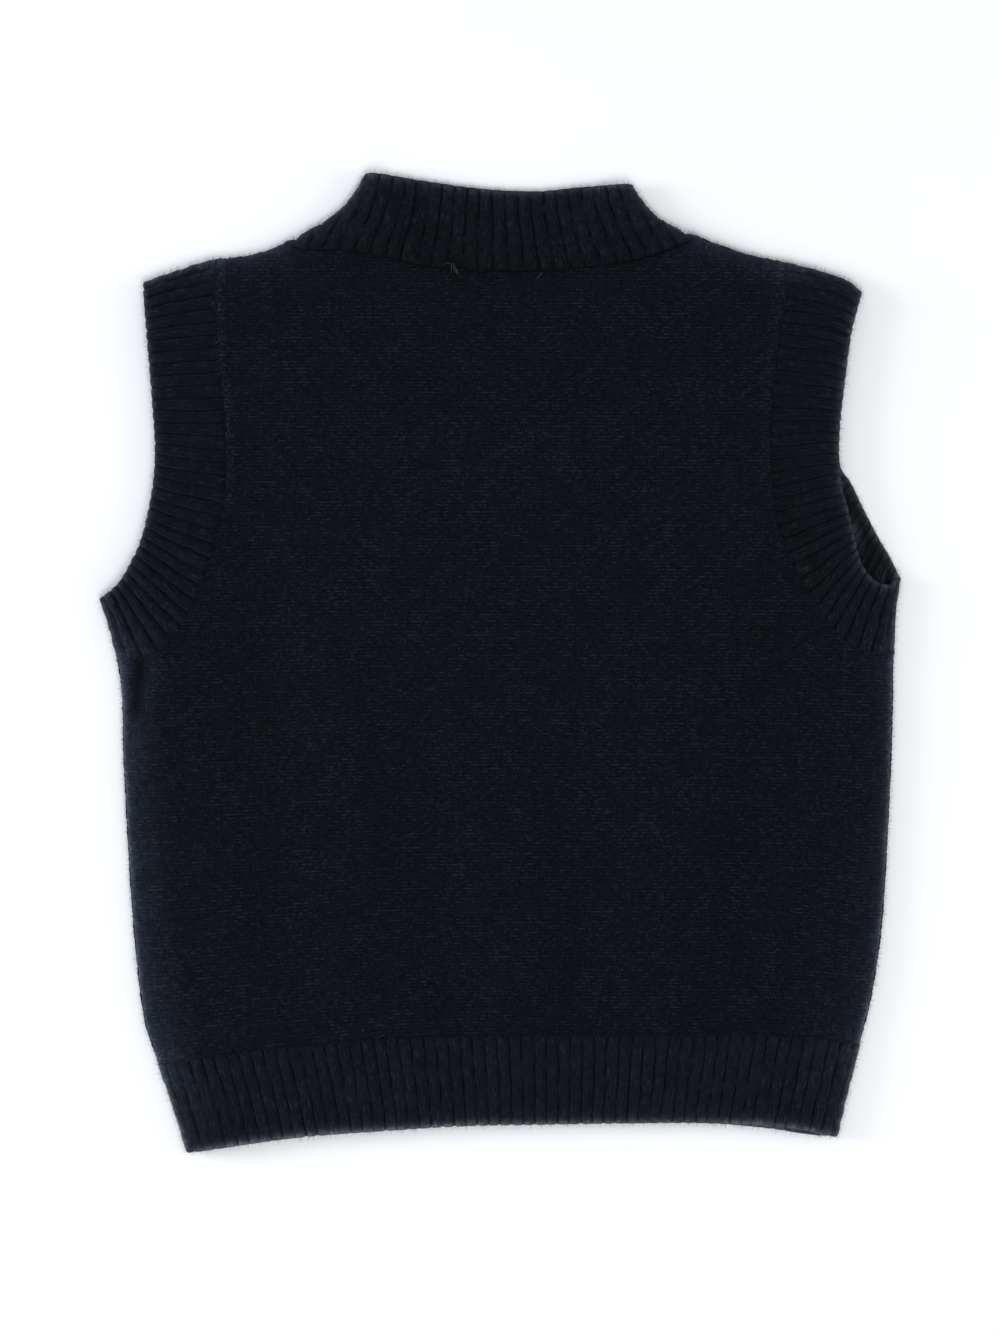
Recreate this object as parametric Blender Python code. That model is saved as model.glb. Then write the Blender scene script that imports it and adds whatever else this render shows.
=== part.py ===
"""Knitted sweater vest, laid flat on a surface with its back up.

Metres, +Z up, +Y towards the neck, origin at the middle of the underside.

The front lies on the surface and the back lies on the front. Both curl into
each other at the folds along the sides, the shoulders and the neckband. Every
piece is a wall of knit. Its outline comes from the named curves below, and
its heights from one law for the back layer and one for the front layer, so
that pieces meet at their seams with an even gap.
"""

import math

import bmesh
import bpy
import numpy as np

MM = 0.001

# Thickness of the knit, measured from a piece's inner surface.
JERSEY = 2.4 * MM
RIB_FLOOR = 1.8 * MM
RIB_CREST = 3.0 * MM

# How the layers lie.
SEAM_GAP = 0.3 * MM
LAYER_GAP = 0.5 * MM
FOLD_HEIGHT = 3.0 * MM      # height of the fold line, where back and front meet
FRONT_ROLL = 8.0 * MM       # how far in from a fold the front curls up
BACK_LOFT = 1.4 * MM        # how far the back rides above the front on average
SIDE_PUFF = 1.5 * MM        # extra height of the back just inside the side folds
SIDE_PUFF_PLACE = 13.0 * MM
SIDE_PUFF_WIDTH = 10.0 * MM
PUFF_ROLLS = (9.0 * MM, 14.0 * MM)  # the puff grows between a band's roll and a side's
HOLE_FLOOR = 0.9 * MM       # where the back sinks through the front's neck hole
HOLE_MARGIN = 3.0 * MM
HOLE_RAMP = 16.0 * MM

# Ribs on each half that faces up. A crest takes this share of a rib's pitch.
NECK_RIBS = 24
ARM_RIBS = 32
HEM_RIBS = 57
CREST_SHARE = 0.6
TURNING_RIBS = 2            # ribs at each end that lie on the turn of a fold

# Mesh density.
PANEL_WIDTH = 339.0 * MM
PANEL_ROLL = 20.0 * MM
SHOULDER_COLUMNS = {"back": 3, "front": 2}
NECK_COLUMNS = {"back": 14, "front": 7}
SIDE_ROWS = {"back": 11, "front": 4}
ARM_ROWS = {"back": 11, "front": 5}
NECK_SHARES = (0.125, 0.85)        # shares across a panel of the neck's two corners
UNDERARM_SHARE = 0.47              # share up a panel of the underarms
TURN_PITCHES = (0.3, 0.5, 0.7, 1.3, 1.7)  # a back seam's points near a fold, in rib pitches
BAND_ROWS = 3
PLAIN_COLUMNS = 18
ROLL_ANGLES = (25.0, 50.0, 72.0, 90.0)
SHARP_ANGLE = 50.0
ON_FOLD = 0.05 * MM                # a place this near to a fold line lies on it

# Where curves meet, in mm: x to the right, y towards the neck.
CORNERS = {
    "left band top": (-157.1, 166.8),
    "left shoulder": (-125.2, 177.3),
    "left neck": (-94.6, 184.6),
    "left collar": (-59.0, 215.6),
    "left band low": (-176.0, 28.6),
    "left underarm": (-168.2, 1.3),
    "left hem line": (-150.1, -176.4),
    "left hem end": (-137.3, -215.6),
    "right band top": (159.3, 162.8),
    "right shoulder": (126.0, 175.9),
    "right neck": (87.2, 187.4),
    "right collar": (58.1, 210.8),
    "right band low": (176.0, 37.8),
    "right underarm": (172.9, 3.5),
    "right hem line": (158.0, -167.6),
    "right hem end": (147.8, -208.6),
}

# Fold lines: first corner, points between in mm, last corner, roll in mm at each end.
FOLDS = {
    "left band top fold": ("left band top", [(-143.0, 172.0)], "left shoulder", 6, 6),
    "left shoulder fold": (
        "left shoulder", [(-110.0, 179.2), (-101.0, 181.7)], "left neck", 6, 6),
    "left neck fold": (
        "left neck", [(-81.5, 191.6), (-70.4, 199.0), (-62.2, 209.4)], "left collar", 6, 6),
    "left band low fold": ("left band low", [(-171.3, 15.0)], "left underarm", 9, 14),
    "left side fold": (
        "left underarm",
        [(-166.2, -13.0), (-165.6, -38.3), (-163.6, -77.9), (-160.9, -117.5), (-156.2, -157.1)],
        "left hem line", 14, 20),
    "left hem fold": ("left hem line", [(-143.6, -195.0)], "left hem end", 20, 16),
    "right band top fold": ("right band top", [(151.8, 168.1)], "right shoulder", 6, 6),
    "right shoulder fold": (
        "right shoulder", [(110.0, 179.3), (97.6, 183.3)], "right neck", 6, 6),
    "right neck fold": (
        "right neck", [(76.6, 191.6), (70.4, 195.5), (62.6, 202.6)], "right collar", 6, 6),
    "right band low fold": ("right band low", [(173.5, 20.0)], "right underarm", 9, 14),
    "right side fold": (
        "right underarm", [(172.5, -25.1), (170.3, -77.9), (167.6, -117.5), (163.6, -145.0)],
        "right hem line", 14, 17),
    "right hem fold": ("right hem line", [(153.6, -185.0)], "right hem end", 17, 14),
}

# Seams, in mm: first corner, points between, last corner.
SEAMS = {
    "neck back": (
        "left neck",
        [(-86.0, 182.0), (-68.6, 181.8), (-48.4, 178.2), (-31.7, 174.6), (-8.8, 173.2),
         (20.2, 173.0), (42.2, 174.7), (56.8, 176.9), (70.0, 180.4)],
        "right neck"),
    "neck front": (
        "left neck",
        [(-87.0, 164.0), (-68.0, 140.0), (-39.6, 124.0), (-4.4, 119.5), (30.8, 124.0),
         (61.6, 140.0), (80.0, 164.0)],
        "right neck"),
    "left arm back": (
        "left shoulder",
        [(-124.9, 159.7), (-124.2, 144.3), (-122.4, 126.0), (-120.6, 100.3), (-120.0, 84.0),
         (-121.2, 72.0), (-123.2, 62.0), (-127.4, 44.4), (-132.0, 33.0), (-137.5, 21.0),
         (-144.5, 9.5), (-154.0, 4.0)],
        "left underarm"),
    "left arm front": (
        "left shoulder",
        [(-122.5, 150.0), (-117.0, 110.0), (-116.5, 75.0), (-122.8, 50.0), (-132.0, 28.0),
         (-144.5, 9.5), (-154.0, 4.0)],
        "left underarm"),
    "right arm back": (
        "right shoulder",
        [(125.1, 160.0), (122.8, 145.0), (121.0, 128.0), (119.2, 112.0), (118.4, 97.0),
         (119.0, 82.0), (121.6, 64.0), (124.8, 53.0), (128.6, 43.0), (135.8, 31.0),
         (144.5, 18.0), (153.6, 8.5), (163.7, 4.8)],
        "right underarm"),
    "right arm front": (
        "right shoulder",
        [(125.0, 157.0), (120.5, 124.0), (118.6, 105.0), (120.5, 82.0), (127.5, 63.0),
         (136.5, 45.0), (145.5, 30.0), (154.0, 16.5), (162.5, 7.0)],
        "right underarm"),
    "hem back": (
        "left hem line",
        [(-140.4, -174.9), (-101.2, -169.8), (-50.6, -165.4), (0.0, -164.0), (61.6, -163.6),
         (114.4, -163.5), (146.1, -165.6)],
        "right hem line"),
    "hem front": (
        "left hem line",
        [(-101.2, -170.0), (-50.6, -166.0), (0.0, -164.6), (61.6, -164.4), (114.4, -164.6)],
        "right hem line"),
}

# Free edges, in mm: first corner, points between, last corner.
EDGES = {
    "collar back": (
        "left collar",
        [(-52.8, 215.2), (-35.2, 212.5), (-17.6, 209.9), (0.0, 208.1), (17.6, 207.7),
         (35.2, 209.4)],
        "right collar"),
    "collar front": (
        "left collar",
        [(-53.5, 197.0), (-39.0, 172.5), (-21.0, 160.5), (-3.0, 157.0), (17.0, 160.5),
         (36.0, 172.5), (51.5, 195.0)],
        "right collar"),
    "left band back": (
        "left band top",
        [(-155.3, 142.1), (-153.1, 115.7), (-151.8, 89.3), (-153.8, 71.7), (-158.0, 54.1),
         (-161.9, 45.3), (-166.6, 36.9), (-171.0, 32.2)],
        "left band low"),
    "left band front": (
        "left band top",
        [(-154.8, 142.1), (-152.6, 115.7), (-151.3, 89.3), (-153.3, 71.7), (-157.5, 54.1),
         (-161.4, 45.3), (-166.2, 36.9), (-170.8, 32.0)],
        "left band low"),
    "right band back": (
        "right band top",
        [(154.9, 146.5), (151.8, 124.5), (149.2, 98.1), (150.0, 78.3), (152.7, 68.6),
         (155.8, 55.0), (159.3, 43.0), (165.4, 36.0), (172.5, 34.6)],
        "right band low"),
    "right band front": (
        "right band top",
        [(154.9, 146.5), (151.8, 124.5), (149.4, 98.1), (150.0, 86.0), (151.8, 79.0),
         (155.8, 71.3), (160.4, 62.9), (165.4, 54.1), (171.2, 45.3)],
        "right band low"),
    "hem back": (
        "left hem end",
        [(-123.2, -213.4), (-88.0, -208.6), (-52.8, -205.9), (-17.6, -203.7), (17.6, -203.0),
         (61.6, -202.3), (96.8, -202.3), (118.0, -203.3), (136.0, -205.6)],
        "right hem end"),
    "hem front": (
        "left hem end",
        [(-123.2, -212.9), (-88.0, -208.1), (-52.8, -205.4), (-17.6, -203.3), (17.6, -202.8),
         (61.6, -202.6), (96.8, -203.1), (120.0, -205.3), (136.0, -207.7)],
        "right hem end"),
}

# Soft troughs (height below zero) and swells of the back: x, y, height, half width, in mm.
CREASES = (
    ("outer trough, left", (-110.0, 58.0, -0.9, 13), (-108.0, -40.0, -1.3, 14),
     (-98.0, -135.0, -1.1, 13)),
    ("inner trough, left", (-55.0, -8.0, -0.6, 11), (-37.0, -82.0, -1.4, 13),
     (-19.0, -165.0, -1.0, 12)),
    ("inner trough, right", (22.0, -16.0, -0.6, 11), (28.0, -90.0, -1.3, 13),
     (32.0, -165.0, -1.0, 12)),
    ("outer trough, right", (121.0, 45.0, -0.9, 10), (118.0, -8.0, -1.3, 13),
     (103.0, -91.0, -1.4, 14), (97.0, -165.0, -1.0, 13)),
    ("outer swell, left", (-76.0, 30.0, 0.3, 12), (-78.0, -60.0, 0.9, 15),
     (-70.0, -160.0, 0.8, 14)),
    ("middle swell", (-14.0, -20.0, 0.3, 12), (-7.0, -90.0, 0.8, 12), (6.0, -160.0, 0.7, 11)),
    ("inner swell, right", (62.0, 10.0, 0.3, 14), (66.0, -80.0, 0.9, 15), (64.0, -160.0, 0.8, 14)),
    ("outer swell, right", (145.0, -30.0, 0.5, 10), (141.0, -100.0, 0.8, 12),
     (132.0, -160.0, 0.6, 11)),
    ("neckline of the front", (-46.0, 127.0, -0.7, 9), (-20.0, 119.5, -1.2, 9),
     (37.0, 121.0, -1.2, 9), (72.0, 136.0, -0.6, 8)),
    ("upper swell", (-60.0, 96.0, 0.5, 17), (0.0, 88.0, 0.8, 20), (60.0, 96.0, 0.5, 17)),
    ("underarm pucker, left", (-159.0, 3.0, -1.2, 4), (-159.4, -18.0, -1.2, 4)),
)

# Linear base colour and roughness of each piece's yarn.
PLAIN_KNIT = ((0.0065, 0.0082, 0.0125), 0.92)
RIBBED_KNIT = ((0.0060, 0.0075, 0.0112), 0.94)


# ---------------------------------------------------------------- curves in plan

def smooth(points, per_span=14):
    """A centripetal Catmull-Rom curve through the points, as a dense polyline."""
    first = 2 * points[0] - points[1]
    last = 2 * points[-1] - points[-2]
    knots = np.vstack([first, points, last])
    dense = []
    for p0, p1, p2, p3 in zip(knots, knots[1:], knots[2:], knots[3:]):
        t1 = math.sqrt(np.linalg.norm(p1 - p0))
        t2 = t1 + math.sqrt(np.linalg.norm(p2 - p1))
        t3 = t2 + math.sqrt(np.linalg.norm(p3 - p2))
        for t in np.linspace(t1, t2, per_span, endpoint=False):
            a1 = (p0 * (t1 - t) + p1 * t) / t1
            a2 = (p1 * (t2 - t) + p2 * (t - t1)) / (t2 - t1)
            a3 = (p2 * (t3 - t) + p3 * (t - t2)) / (t3 - t2)
            b1 = (a1 * (t2 - t) + a2 * t) / t2
            b2 = (a2 * (t3 - t) + a3 * (t - t1)) / (t3 - t1)
            dense.append((b1 * (t2 - t) + b2 * (t - t1)) / (t2 - t1))
    dense.append(points[-1])
    return np.array(dense)


def curve(row):
    """The dense curve of a table row, in metres."""
    start, between, end = row[:3]
    return smooth(np.array([CORNERS[start], *between, CORNERS[end]]) * MM)


def run(line):
    """Distance along a polyline at each of its points."""
    return np.concatenate([[0.0], np.cumsum(np.linalg.norm(np.diff(line, axis=0), axis=1))])


def along(line, shares):
    """The points at these shares of a polyline's length."""
    at = run(line)
    places = np.asarray(shares) * at[-1]
    return np.stack([np.interp(places, at, line[:, 0]), np.interp(places, at, line[:, 1])], -1)


def trimmed(line, start, end):
    """A polyline shortened by these lengths at its two ends, and evened out."""
    length = run(line)[-1]
    return along(line, np.linspace(start / length, 1.0 - end / length, len(line)))


def left_normals(line):
    """The unit normal to the left at each point, mitred between the two stretches."""
    steps = np.diff(line, axis=0)
    normals = np.stack([-steps[:, 1], steps[:, 0]], -1)
    normals /= np.linalg.norm(normals, axis=1)[:, None]
    before = np.vstack([normals[:1], normals])
    after = np.vstack([normals, normals[-1:]])
    middle = before + after
    middle /= np.linalg.norm(middle, axis=1)[:, None]
    return middle / np.sum(middle * before, axis=1)[:, None]


FOLD_CURVES = {name: curve(row) for name, row in FOLDS.items()}
EDGE_CURVES = {name: curve(row) for name, row in EDGES.items()}
SEAM_CURVES = {name: curve(row) for name, row in SEAMS.items()}


# ---------------------------------------------------------------- heights

def fold_segments():
    """All fold lines as short segments: starts, ends, inward normals, rolls at both ends."""
    starts, ends, inward, rolls = [], [], [], []
    for name, row in FOLDS.items():
        line = FOLD_CURVES[name]
        roll = np.interp(run(line), [0.0, run(line)[-1]], [row[3] * MM, row[4] * MM])
        steps = np.diff(line, axis=0)
        normals = np.stack([-steps[:, 1], steps[:, 0]], -1)
        normals /= np.linalg.norm(normals, axis=1)[:, None]
        middle = (line[1:] + line[:-1]) / 2
        normals *= np.sign(-np.sum(normals * middle, axis=1))[:, None]
        starts.append(line[:-1])
        ends.append(line[1:])
        inward.append(normals)
        rolls.append(np.stack([roll[:-1], roll[1:]], -1))
    return tuple(np.vstack(part) for part in (starts, ends, inward, rolls))


FOLD_START, FOLD_END, FOLD_INWARD, FOLD_ROLLS = fold_segments()


def nearest_on(place, start, end):
    """Distance from a place to each segment, the nearest points and their shares."""
    step = end - start
    share = np.sum((place - start) * step, axis=1) / np.sum(step * step, axis=1)
    share = np.clip(share, 0.0, 1.0)
    nearest = start + step * share[:, None]
    return np.linalg.norm(place - nearest, axis=1), nearest, share


def nearest_fold(place):
    """(distance, inward direction, roll) of the fold line nearest to a place."""
    distances, nearest, share = nearest_on(place, FOLD_START, FOLD_END)
    which = int(np.argmin(distances))
    distance = distances[which]
    inward = FOLD_INWARD[which]
    if distance > SEAM_GAP:
        inward = (place - nearest[which]) / distance
    roll = FOLD_ROLLS[which] @ (1.0 - share[which], share[which])
    return 0.0 if distance < ON_FOLD else distance, inward, roll


def crease_height(place):
    """Sum of the soft troughs and swells at a place."""
    total = 0.0
    for _, *rows in CREASES:
        table = np.array(rows) * MM
        distances, _, share = nearest_on(place, table[:-1, :2], table[1:, :2])
        which = int(np.argmin(distances))
        mix = (1.0 - share[which], share[which])
        height, width = table[which:which + 2, 2:].T @ mix
        total += height * math.exp(-((distances[which] / width) ** 2))
    return total


def hole_share(place):
    """0 where the front lies under a place, rising to 1 inside the front's neck hole."""
    line = EDGE_CURVES["collar front"]
    if place[1] < np.interp(place[0], line[:, 0], line[:, 1], left=1.0, right=1.0):
        return 0.0
    distances, _, _ = nearest_on(place, line[:-1], line[1:])
    step = min(max((distances.min() - HOLE_MARGIN) / HOLE_RAMP, 0.0), 1.0)
    return step * step * (3.0 - 2.0 * step)


def back_floor(place, distance, roll):
    """Height of the back's inner surface away from the folds."""
    puff = math.exp(-(((distance - SIDE_PUFF_PLACE) / SIDE_PUFF_WIDTH) ** 2))
    puff *= SIDE_PUFF * np.interp(roll, PUFF_ROLLS, (0.0, 1.0))
    covered = JERSEY + LAYER_GAP + max(BACK_LOFT + crease_height(place) + puff, 0.0)
    hole = hole_share(place)
    return covered * (1.0 - hole) + HOLE_FLOOR * hole


def back_point(place, height, fold_height):
    """A point of the back layer at a height above its inner surface."""
    distance, inward, roll = nearest_fold(place)
    cosine = max(0.0, 1.0 - distance / roll)
    sine = math.sqrt(1.0 - cosine * cosine)
    plan = place + inward * (JERSEY - height) * cosine
    top = back_floor(place, distance, roll) + height
    return (plan[0], plan[1], fold_height + (top - fold_height) * sine)


def front_point(place, height, fold_height):
    """A point of the front layer at a height below its inner surface."""
    distance, inward, _ = nearest_fold(place)
    cosine = max(0.0, 1.0 - distance / FRONT_ROLL)
    sine = math.sqrt(1.0 - cosine * cosine)
    plan = place + inward * (JERSEY - height) * cosine
    return (plan[0], plan[1], fold_height + (JERSEY - height - fold_height) * sine)


# ---------------------------------------------------------------- boundaries and grids

def coons(low, high, left, right, across, up):
    """A grid of places between four boundaries that are given at the column and row shares."""
    u = np.asarray(across)[:, None, None]
    v = np.asarray(up)[None, :, None]
    corners = ((1 - u) * (1 - v) * low[0] + u * (1 - v) * low[-1]
               + (1 - u) * v * high[0] + u * v * high[-1])
    return ((1 - v) * low[:, None] + v * high[:, None]
            + (1 - u) * left[None] + u * right[None] - corners)


def beside(line, distance, start, end):
    """A polyline moved to its left, with its two ends on given fold points."""
    moved = line + left_normals(line) * distance
    moved[0] = start
    moved[-1] = end
    return moved


def fold_line(name, seams="both", reverse=False):
    """A fold curve, set back by half a seam gap where its start, its end or both meet a seam."""
    half = SEAM_GAP / 2
    line = trimmed(FOLD_CURVES[name], half if seams in ("start", "both") else 0.0,
                   half if seams in ("end", "both") else 0.0)
    return line[::-1] if reverse else line


def roll_shares(length, roll):
    """Shares of a length at which a roll of this width turns through ROLL_ANGLES."""
    return [roll * (1.0 - math.cos(math.radians(angle))) / length for angle in ROLL_ANGLES]


def mirrored_shares(near, steps):
    """0, the near shares, even steps between, the near shares mirrored, and 1."""
    middle = np.linspace(near[-1], 1.0 - near[-1], steps + 1)
    return np.array([0.0, *near[:-1], *middle, *(1.0 - share for share in near[-2::-1]), 1.0])


def turn_shares(name, ribs):
    """Shares along a seam, from a fold, where its panel and its band both have points."""
    if "front" in name:
        return np.array(roll_shares(run(SEAM_CURVES[name])[-1], FRONT_ROLL))
    return np.array(TURN_PITCHES) / ribs


def panel_columns(layer):
    """Shares across a panel, and the indices of the columns at the neck's two corners."""
    near = roll_shares(PANEL_WIDTH, FRONT_ROLL if layer == "front" else PANEL_ROLL)
    left, right = NECK_SHARES
    steps = turn_shares(f"neck {layer}", NECK_RIBS) * (right - left)
    shoulder = SHOULDER_COLUMNS[layer]
    across = [0.0, *near[:-1], *np.linspace(near[-1], left, shoulder + 1),
              *(left + step for step in steps[:-1]),
              *np.linspace(left + steps[-1], right - steps[-1], NECK_COLUMNS[layer] + 1),
              *(right - step for step in steps[-2::-1]),
              *np.linspace(right, 1.0 - near[-1], shoulder + 1),
              *(1.0 - share for share in near[-2::-1]), 1.0]
    return np.array(across), (across.index(left), across.index(right))


def panel_rows(layer):
    """Shares up a panel, and the index of the row at the underarm."""
    steps = turn_shares(f"left arm {layer}", ARM_RIBS) * (1.0 - UNDERARM_SHARE)
    near_underarm = UNDERARM_SHARE + steps
    near_shoulder = 1.0 - steps[::-1]
    up = [*np.linspace(0.0, UNDERARM_SHARE, SIDE_ROWS[layer] + 1), *near_underarm[:-1],
          *np.linspace(near_underarm[-1], near_shoulder[0], ARM_ROWS[layer] + 1),
          *near_shoulder[1:], 1.0]
    return np.array(up), SIDE_ROWS[layer]


def span(shares):
    """Shares stretched to run from 0 to 1."""
    return (shares - shares[0]) / (shares[-1] - shares[0])


def panel_seam(name):
    """A seam as the polyline that its panel's edge makes between the panel's rows or columns."""
    layer = name.split()[-1]
    across, (left_neck, right_neck) = panel_columns(layer)
    up, underarm = panel_rows(layer)
    if name.startswith("neck"):
        shares = span(across[left_neck:right_neck + 1])
    elif name.startswith("hem"):
        shares = across
    else:
        shares = 1.0 - span(up[underarm:])[::-1]
    return along(SEAM_CURVES[name], shares)


# ---------------------------------------------------------------- meshes

def columns_of(grid, point, heights, fold_height=FOLD_HEIGHT):
    """Columns of points of one layer over a grid of places, at a height for each column."""
    return [[point(place, height, fold_height) for place in column]
            for column, height in zip(grid, heights)]


def wall_object(name, outer, inner, anchors, ring, finish):
    """A closed wall from columns of outer and inner points.

    anchors gives, for each inner column, the outer column that stands over it.
    A ring's last column joins its first; any other wall gets end faces.
    """
    mesh = bmesh.new()
    out = [[mesh.verts.new(point) for point in column] for column in outer]
    inn = [[mesh.verts.new(point) for point in column] for column in inner]
    rows = range(len(outer[0]) - 1)
    for columns in (out, inn):
        for a, b in zip(columns, columns[1:] + columns[:1] if ring else columns[1:]):
            for row in rows:
                mesh.faces.new((a[row], b[row], b[row + 1], a[row + 1]))
    turns = [*anchors, len(out)] if ring else anchors
    for index, (low, high) in enumerate(zip(turns, turns[1:])):
        after = inn[(index + 1) % len(inn)]
        for row in (0, -1):
            above = [out[k % len(out)][row] for k in range(low, high + 1)]
            mesh.faces.new((*above, after[row], inn[index][row]))
    if not ring:
        for end in (0, -1):
            for row in rows:
                mesh.faces.new((out[end][row], out[end][row + 1],
                                inn[end][row + 1], inn[end][row]))
    bmesh.ops.recalc_face_normals(mesh, faces=mesh.faces)
    data = bpy.data.meshes.new(name)
    mesh.to_mesh(data)
    mesh.free()
    data.shade_smooth()
    data.set_sharp_from_angle(angle=math.radians(SHARP_ANGLE))
    data.materials.append(finish)
    return bpy.data.objects.new(name, data)


def rib_columns(ribs):
    """Shares and heights of the outer columns over a row of ribs, and the inner wall's columns.

    The inner wall has a column under each groove, and under every column near the
    folds, where the wall turns.
    """
    flank = 0.5 * (1.0 - CREST_SHARE) / ribs
    columns, anchors = [(0.0, RIB_CREST)], [0]
    for rib in range(ribs):
        groove = (rib + 0.5) / ribs
        start = len(columns)
        columns += [(groove - flank, RIB_CREST), (groove, RIB_FLOOR), (groove + flank, RIB_CREST)]
        turning = min(rib, ribs - 1 - rib) < TURNING_RIBS
        anchors += range(start, start + 3) if turning else [start + 1]
    anchors.append(len(columns))
    columns.append((1.0, RIB_CREST))
    shares, heights = np.array(columns).T
    return shares, heights, anchors


def band_grid(seam, side, edge, first, last, shares):
    """Places over half a band, from its seam out to its free edge.

    side is 1 where the band lies to the left of its seam's direction, and -1
    where it lies to the right. first and last are the folds at its two ends.
    """
    rows = np.linspace(0.0, 1.0, BAND_ROWS + 1)
    inner_edge = beside(seam, side * SEAM_GAP / 2, first[0], last[0])
    return coons(along(inner_edge, shares), along(edge, shares),
                 along(first, rows), along(last, rows), shares, rows)


def ribbed_half(band, ribs, fold_height=FOLD_HEIGHT):
    """Outer columns, inner columns and anchors of a band's half that faces up."""
    shares, heights, anchors = rib_columns(ribs)
    grid = band_grid(*band, shares)
    outer = columns_of(grid, back_point, heights, fold_height)
    inner = columns_of(grid[anchors], back_point, [0.0] * len(anchors), fold_height)
    return outer, inner, anchors


def plain_half(band, fold_height=FOLD_HEIGHT):
    """Outer and inner columns of a band's half that rests on the surface, from end to end."""
    near = roll_shares(run(band[0])[-1], FRONT_ROLL)
    shares = mirrored_shares(near, PLAIN_COLUMNS)
    grid = band_grid(*band, shares)
    outer = columns_of(grid, front_point, [JERSEY] * len(shares), fold_height)
    inner = columns_of(grid, front_point, [0.0] * len(shares), fold_height)
    return outer, inner


def ribbed_ring(name, back, front, ribs, finish):
    """A band closed to a ring: ribbed where it faces up, plain where it rests."""
    outer, inner, anchors = ribbed_half(back, ribs)
    plain_outer, plain_inner = plain_half(front)
    returning = slice(-2, 0, -1)
    anchors = [*anchors, *range(len(outer), len(outer) + len(plain_outer[returning]))]
    return wall_object(name, outer + plain_outer[returning], inner + plain_inner[returning],
                       anchors, True, finish)


# ---------------------------------------------------------------- pieces

def armband(hand, finish):
    """The ribbed ring round one armhole."""
    side = -1 if hand == "left" else 1
    folds = (fold_line(f"{hand} band top fold", "end", reverse=True),
             fold_line(f"{hand} band low fold", "end", reverse=True))
    halves = [(panel_seam(f"{hand} arm {layer}"), side, EDGE_CURVES[f"{hand} band {layer}"],
               *folds) for layer in ("back", "front")]
    return ribbed_ring(f"armband_{hand}", *halves, ARM_RIBS, finish)


def neckband(finish):
    """The ribbed ring round the neck, standing up above its seam."""
    folds = fold_line("left neck fold", "start"), fold_line("right neck fold", "start")
    halves = [(panel_seam(f"neck {layer}"), 1, EDGE_CURVES[f"collar {layer}"], *folds)
              for layer in ("back", "front")]
    return ribbed_ring("neckband", *halves, NECK_RIBS, finish)


def hem_band(layer, finish):
    """The ribbed welt of the back, or the plain-faced one of the front that rests."""
    folds = fold_line("left hem fold", "start"), fold_line("right hem fold", "start")
    band = (panel_seam(f"hem {layer}"), -1, EDGE_CURVES[f"hem {layer}"], *folds)
    if layer == "back":
        outer, inner, anchors = ribbed_half(band, HEM_RIBS, FOLD_HEIGHT + SEAM_GAP / 2)
    else:
        outer, inner = plain_half(band, FOLD_HEIGHT - SEAM_GAP / 2)
        anchors = range(len(outer))
    return wall_object(f"hem_{layer}", outer, inner, anchors, False, finish)


def panel_grid(layer):
    """Places over a body panel, between hem line, sides, armholes, shoulders and neck."""
    half = SEAM_GAP / 2
    across, (left_neck, right_neck) = panel_columns(layer)
    up, underarm = panel_rows(layer)
    shoulders = {"left": fold_line("left shoulder fold"),
                 "right": fold_line("right shoulder fold")}
    edges = {}
    for hand, turn in (("left", 1), ("right", -1)):
        side = fold_line(f"{hand} side fold", reverse=True)
        seam = panel_seam(f"{hand} arm {layer}")
        armhole = beside(seam, turn * half, shoulders[hand][0], side[-1])[::-1]
        edges[hand] = np.vstack([along(side, span(up[:underarm + 1])), armhole[1:]])
    neck = beside(panel_seam(f"neck {layer}"), -half, shoulders["left"][-1],
                  shoulders["right"][-1])
    high = np.vstack([along(shoulders["left"], span(across[:left_neck + 1])), neck[1:-1],
                      along(shoulders["right"], 1.0 - span(across[right_neck:]))])
    low = beside(panel_seam(f"hem {layer}"), half, edges["left"][0], edges["right"][0])
    return coons(low, high, edges["left"], edges["right"], across, up)


def body_panel(layer, finish):
    """The back or front body panel, a wall of plain knit."""
    point, gap = (back_point, SEAM_GAP / 2) if layer == "back" else (front_point, -SEAM_GAP / 2)
    grid = panel_grid(layer)
    outer = columns_of(grid, point, [JERSEY] * len(grid), FOLD_HEIGHT + gap)
    inner = columns_of(grid, point, [0.0] * len(grid), FOLD_HEIGHT + gap)
    return wall_object(f"{layer}_panel", outer, inner, range(len(outer)), False, finish)


def knit_finish(name, colour, roughness):
    """A matt yarn material."""
    finish = bpy.data.materials.new(name)
    finish.use_nodes = True
    shader = finish.node_tree.nodes["Principled BSDF"]
    shader.inputs["Base Color"].default_value = (*colour, 1.0)
    shader.inputs["Roughness"].default_value = roughness
    shader.inputs["Metallic"].default_value = 0.0
    finish.diffuse_color = (*colour, 1.0)
    return finish


def clear_scene():
    """Removes every object of the scene, and makes the garment's collection."""
    for old in list(bpy.data.objects):
        bpy.data.objects.remove(old, do_unlink=True)
    garment = bpy.data.collections.new("knitted_sweater_vest")
    bpy.context.scene.collection.children.link(garment)
    return garment


def main():
    garment = clear_scene()
    pieces = [
        body_panel("back", knit_finish("back_knit", *PLAIN_KNIT)),
        body_panel("front", knit_finish("front_knit", *PLAIN_KNIT)),
        neckband(knit_finish("neck_rib", *RIBBED_KNIT)),
        armband("left", knit_finish("left_arm_rib", *RIBBED_KNIT)),
        armband("right", knit_finish("right_arm_rib", *RIBBED_KNIT)),
        hem_band("back", knit_finish("back_hem_rib", *RIBBED_KNIT)),
        hem_band("front", knit_finish("front_hem_rib", *RIBBED_KNIT)),
    ]
    for piece in pieces:
        garment.objects.link(piece)


main()
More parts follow.
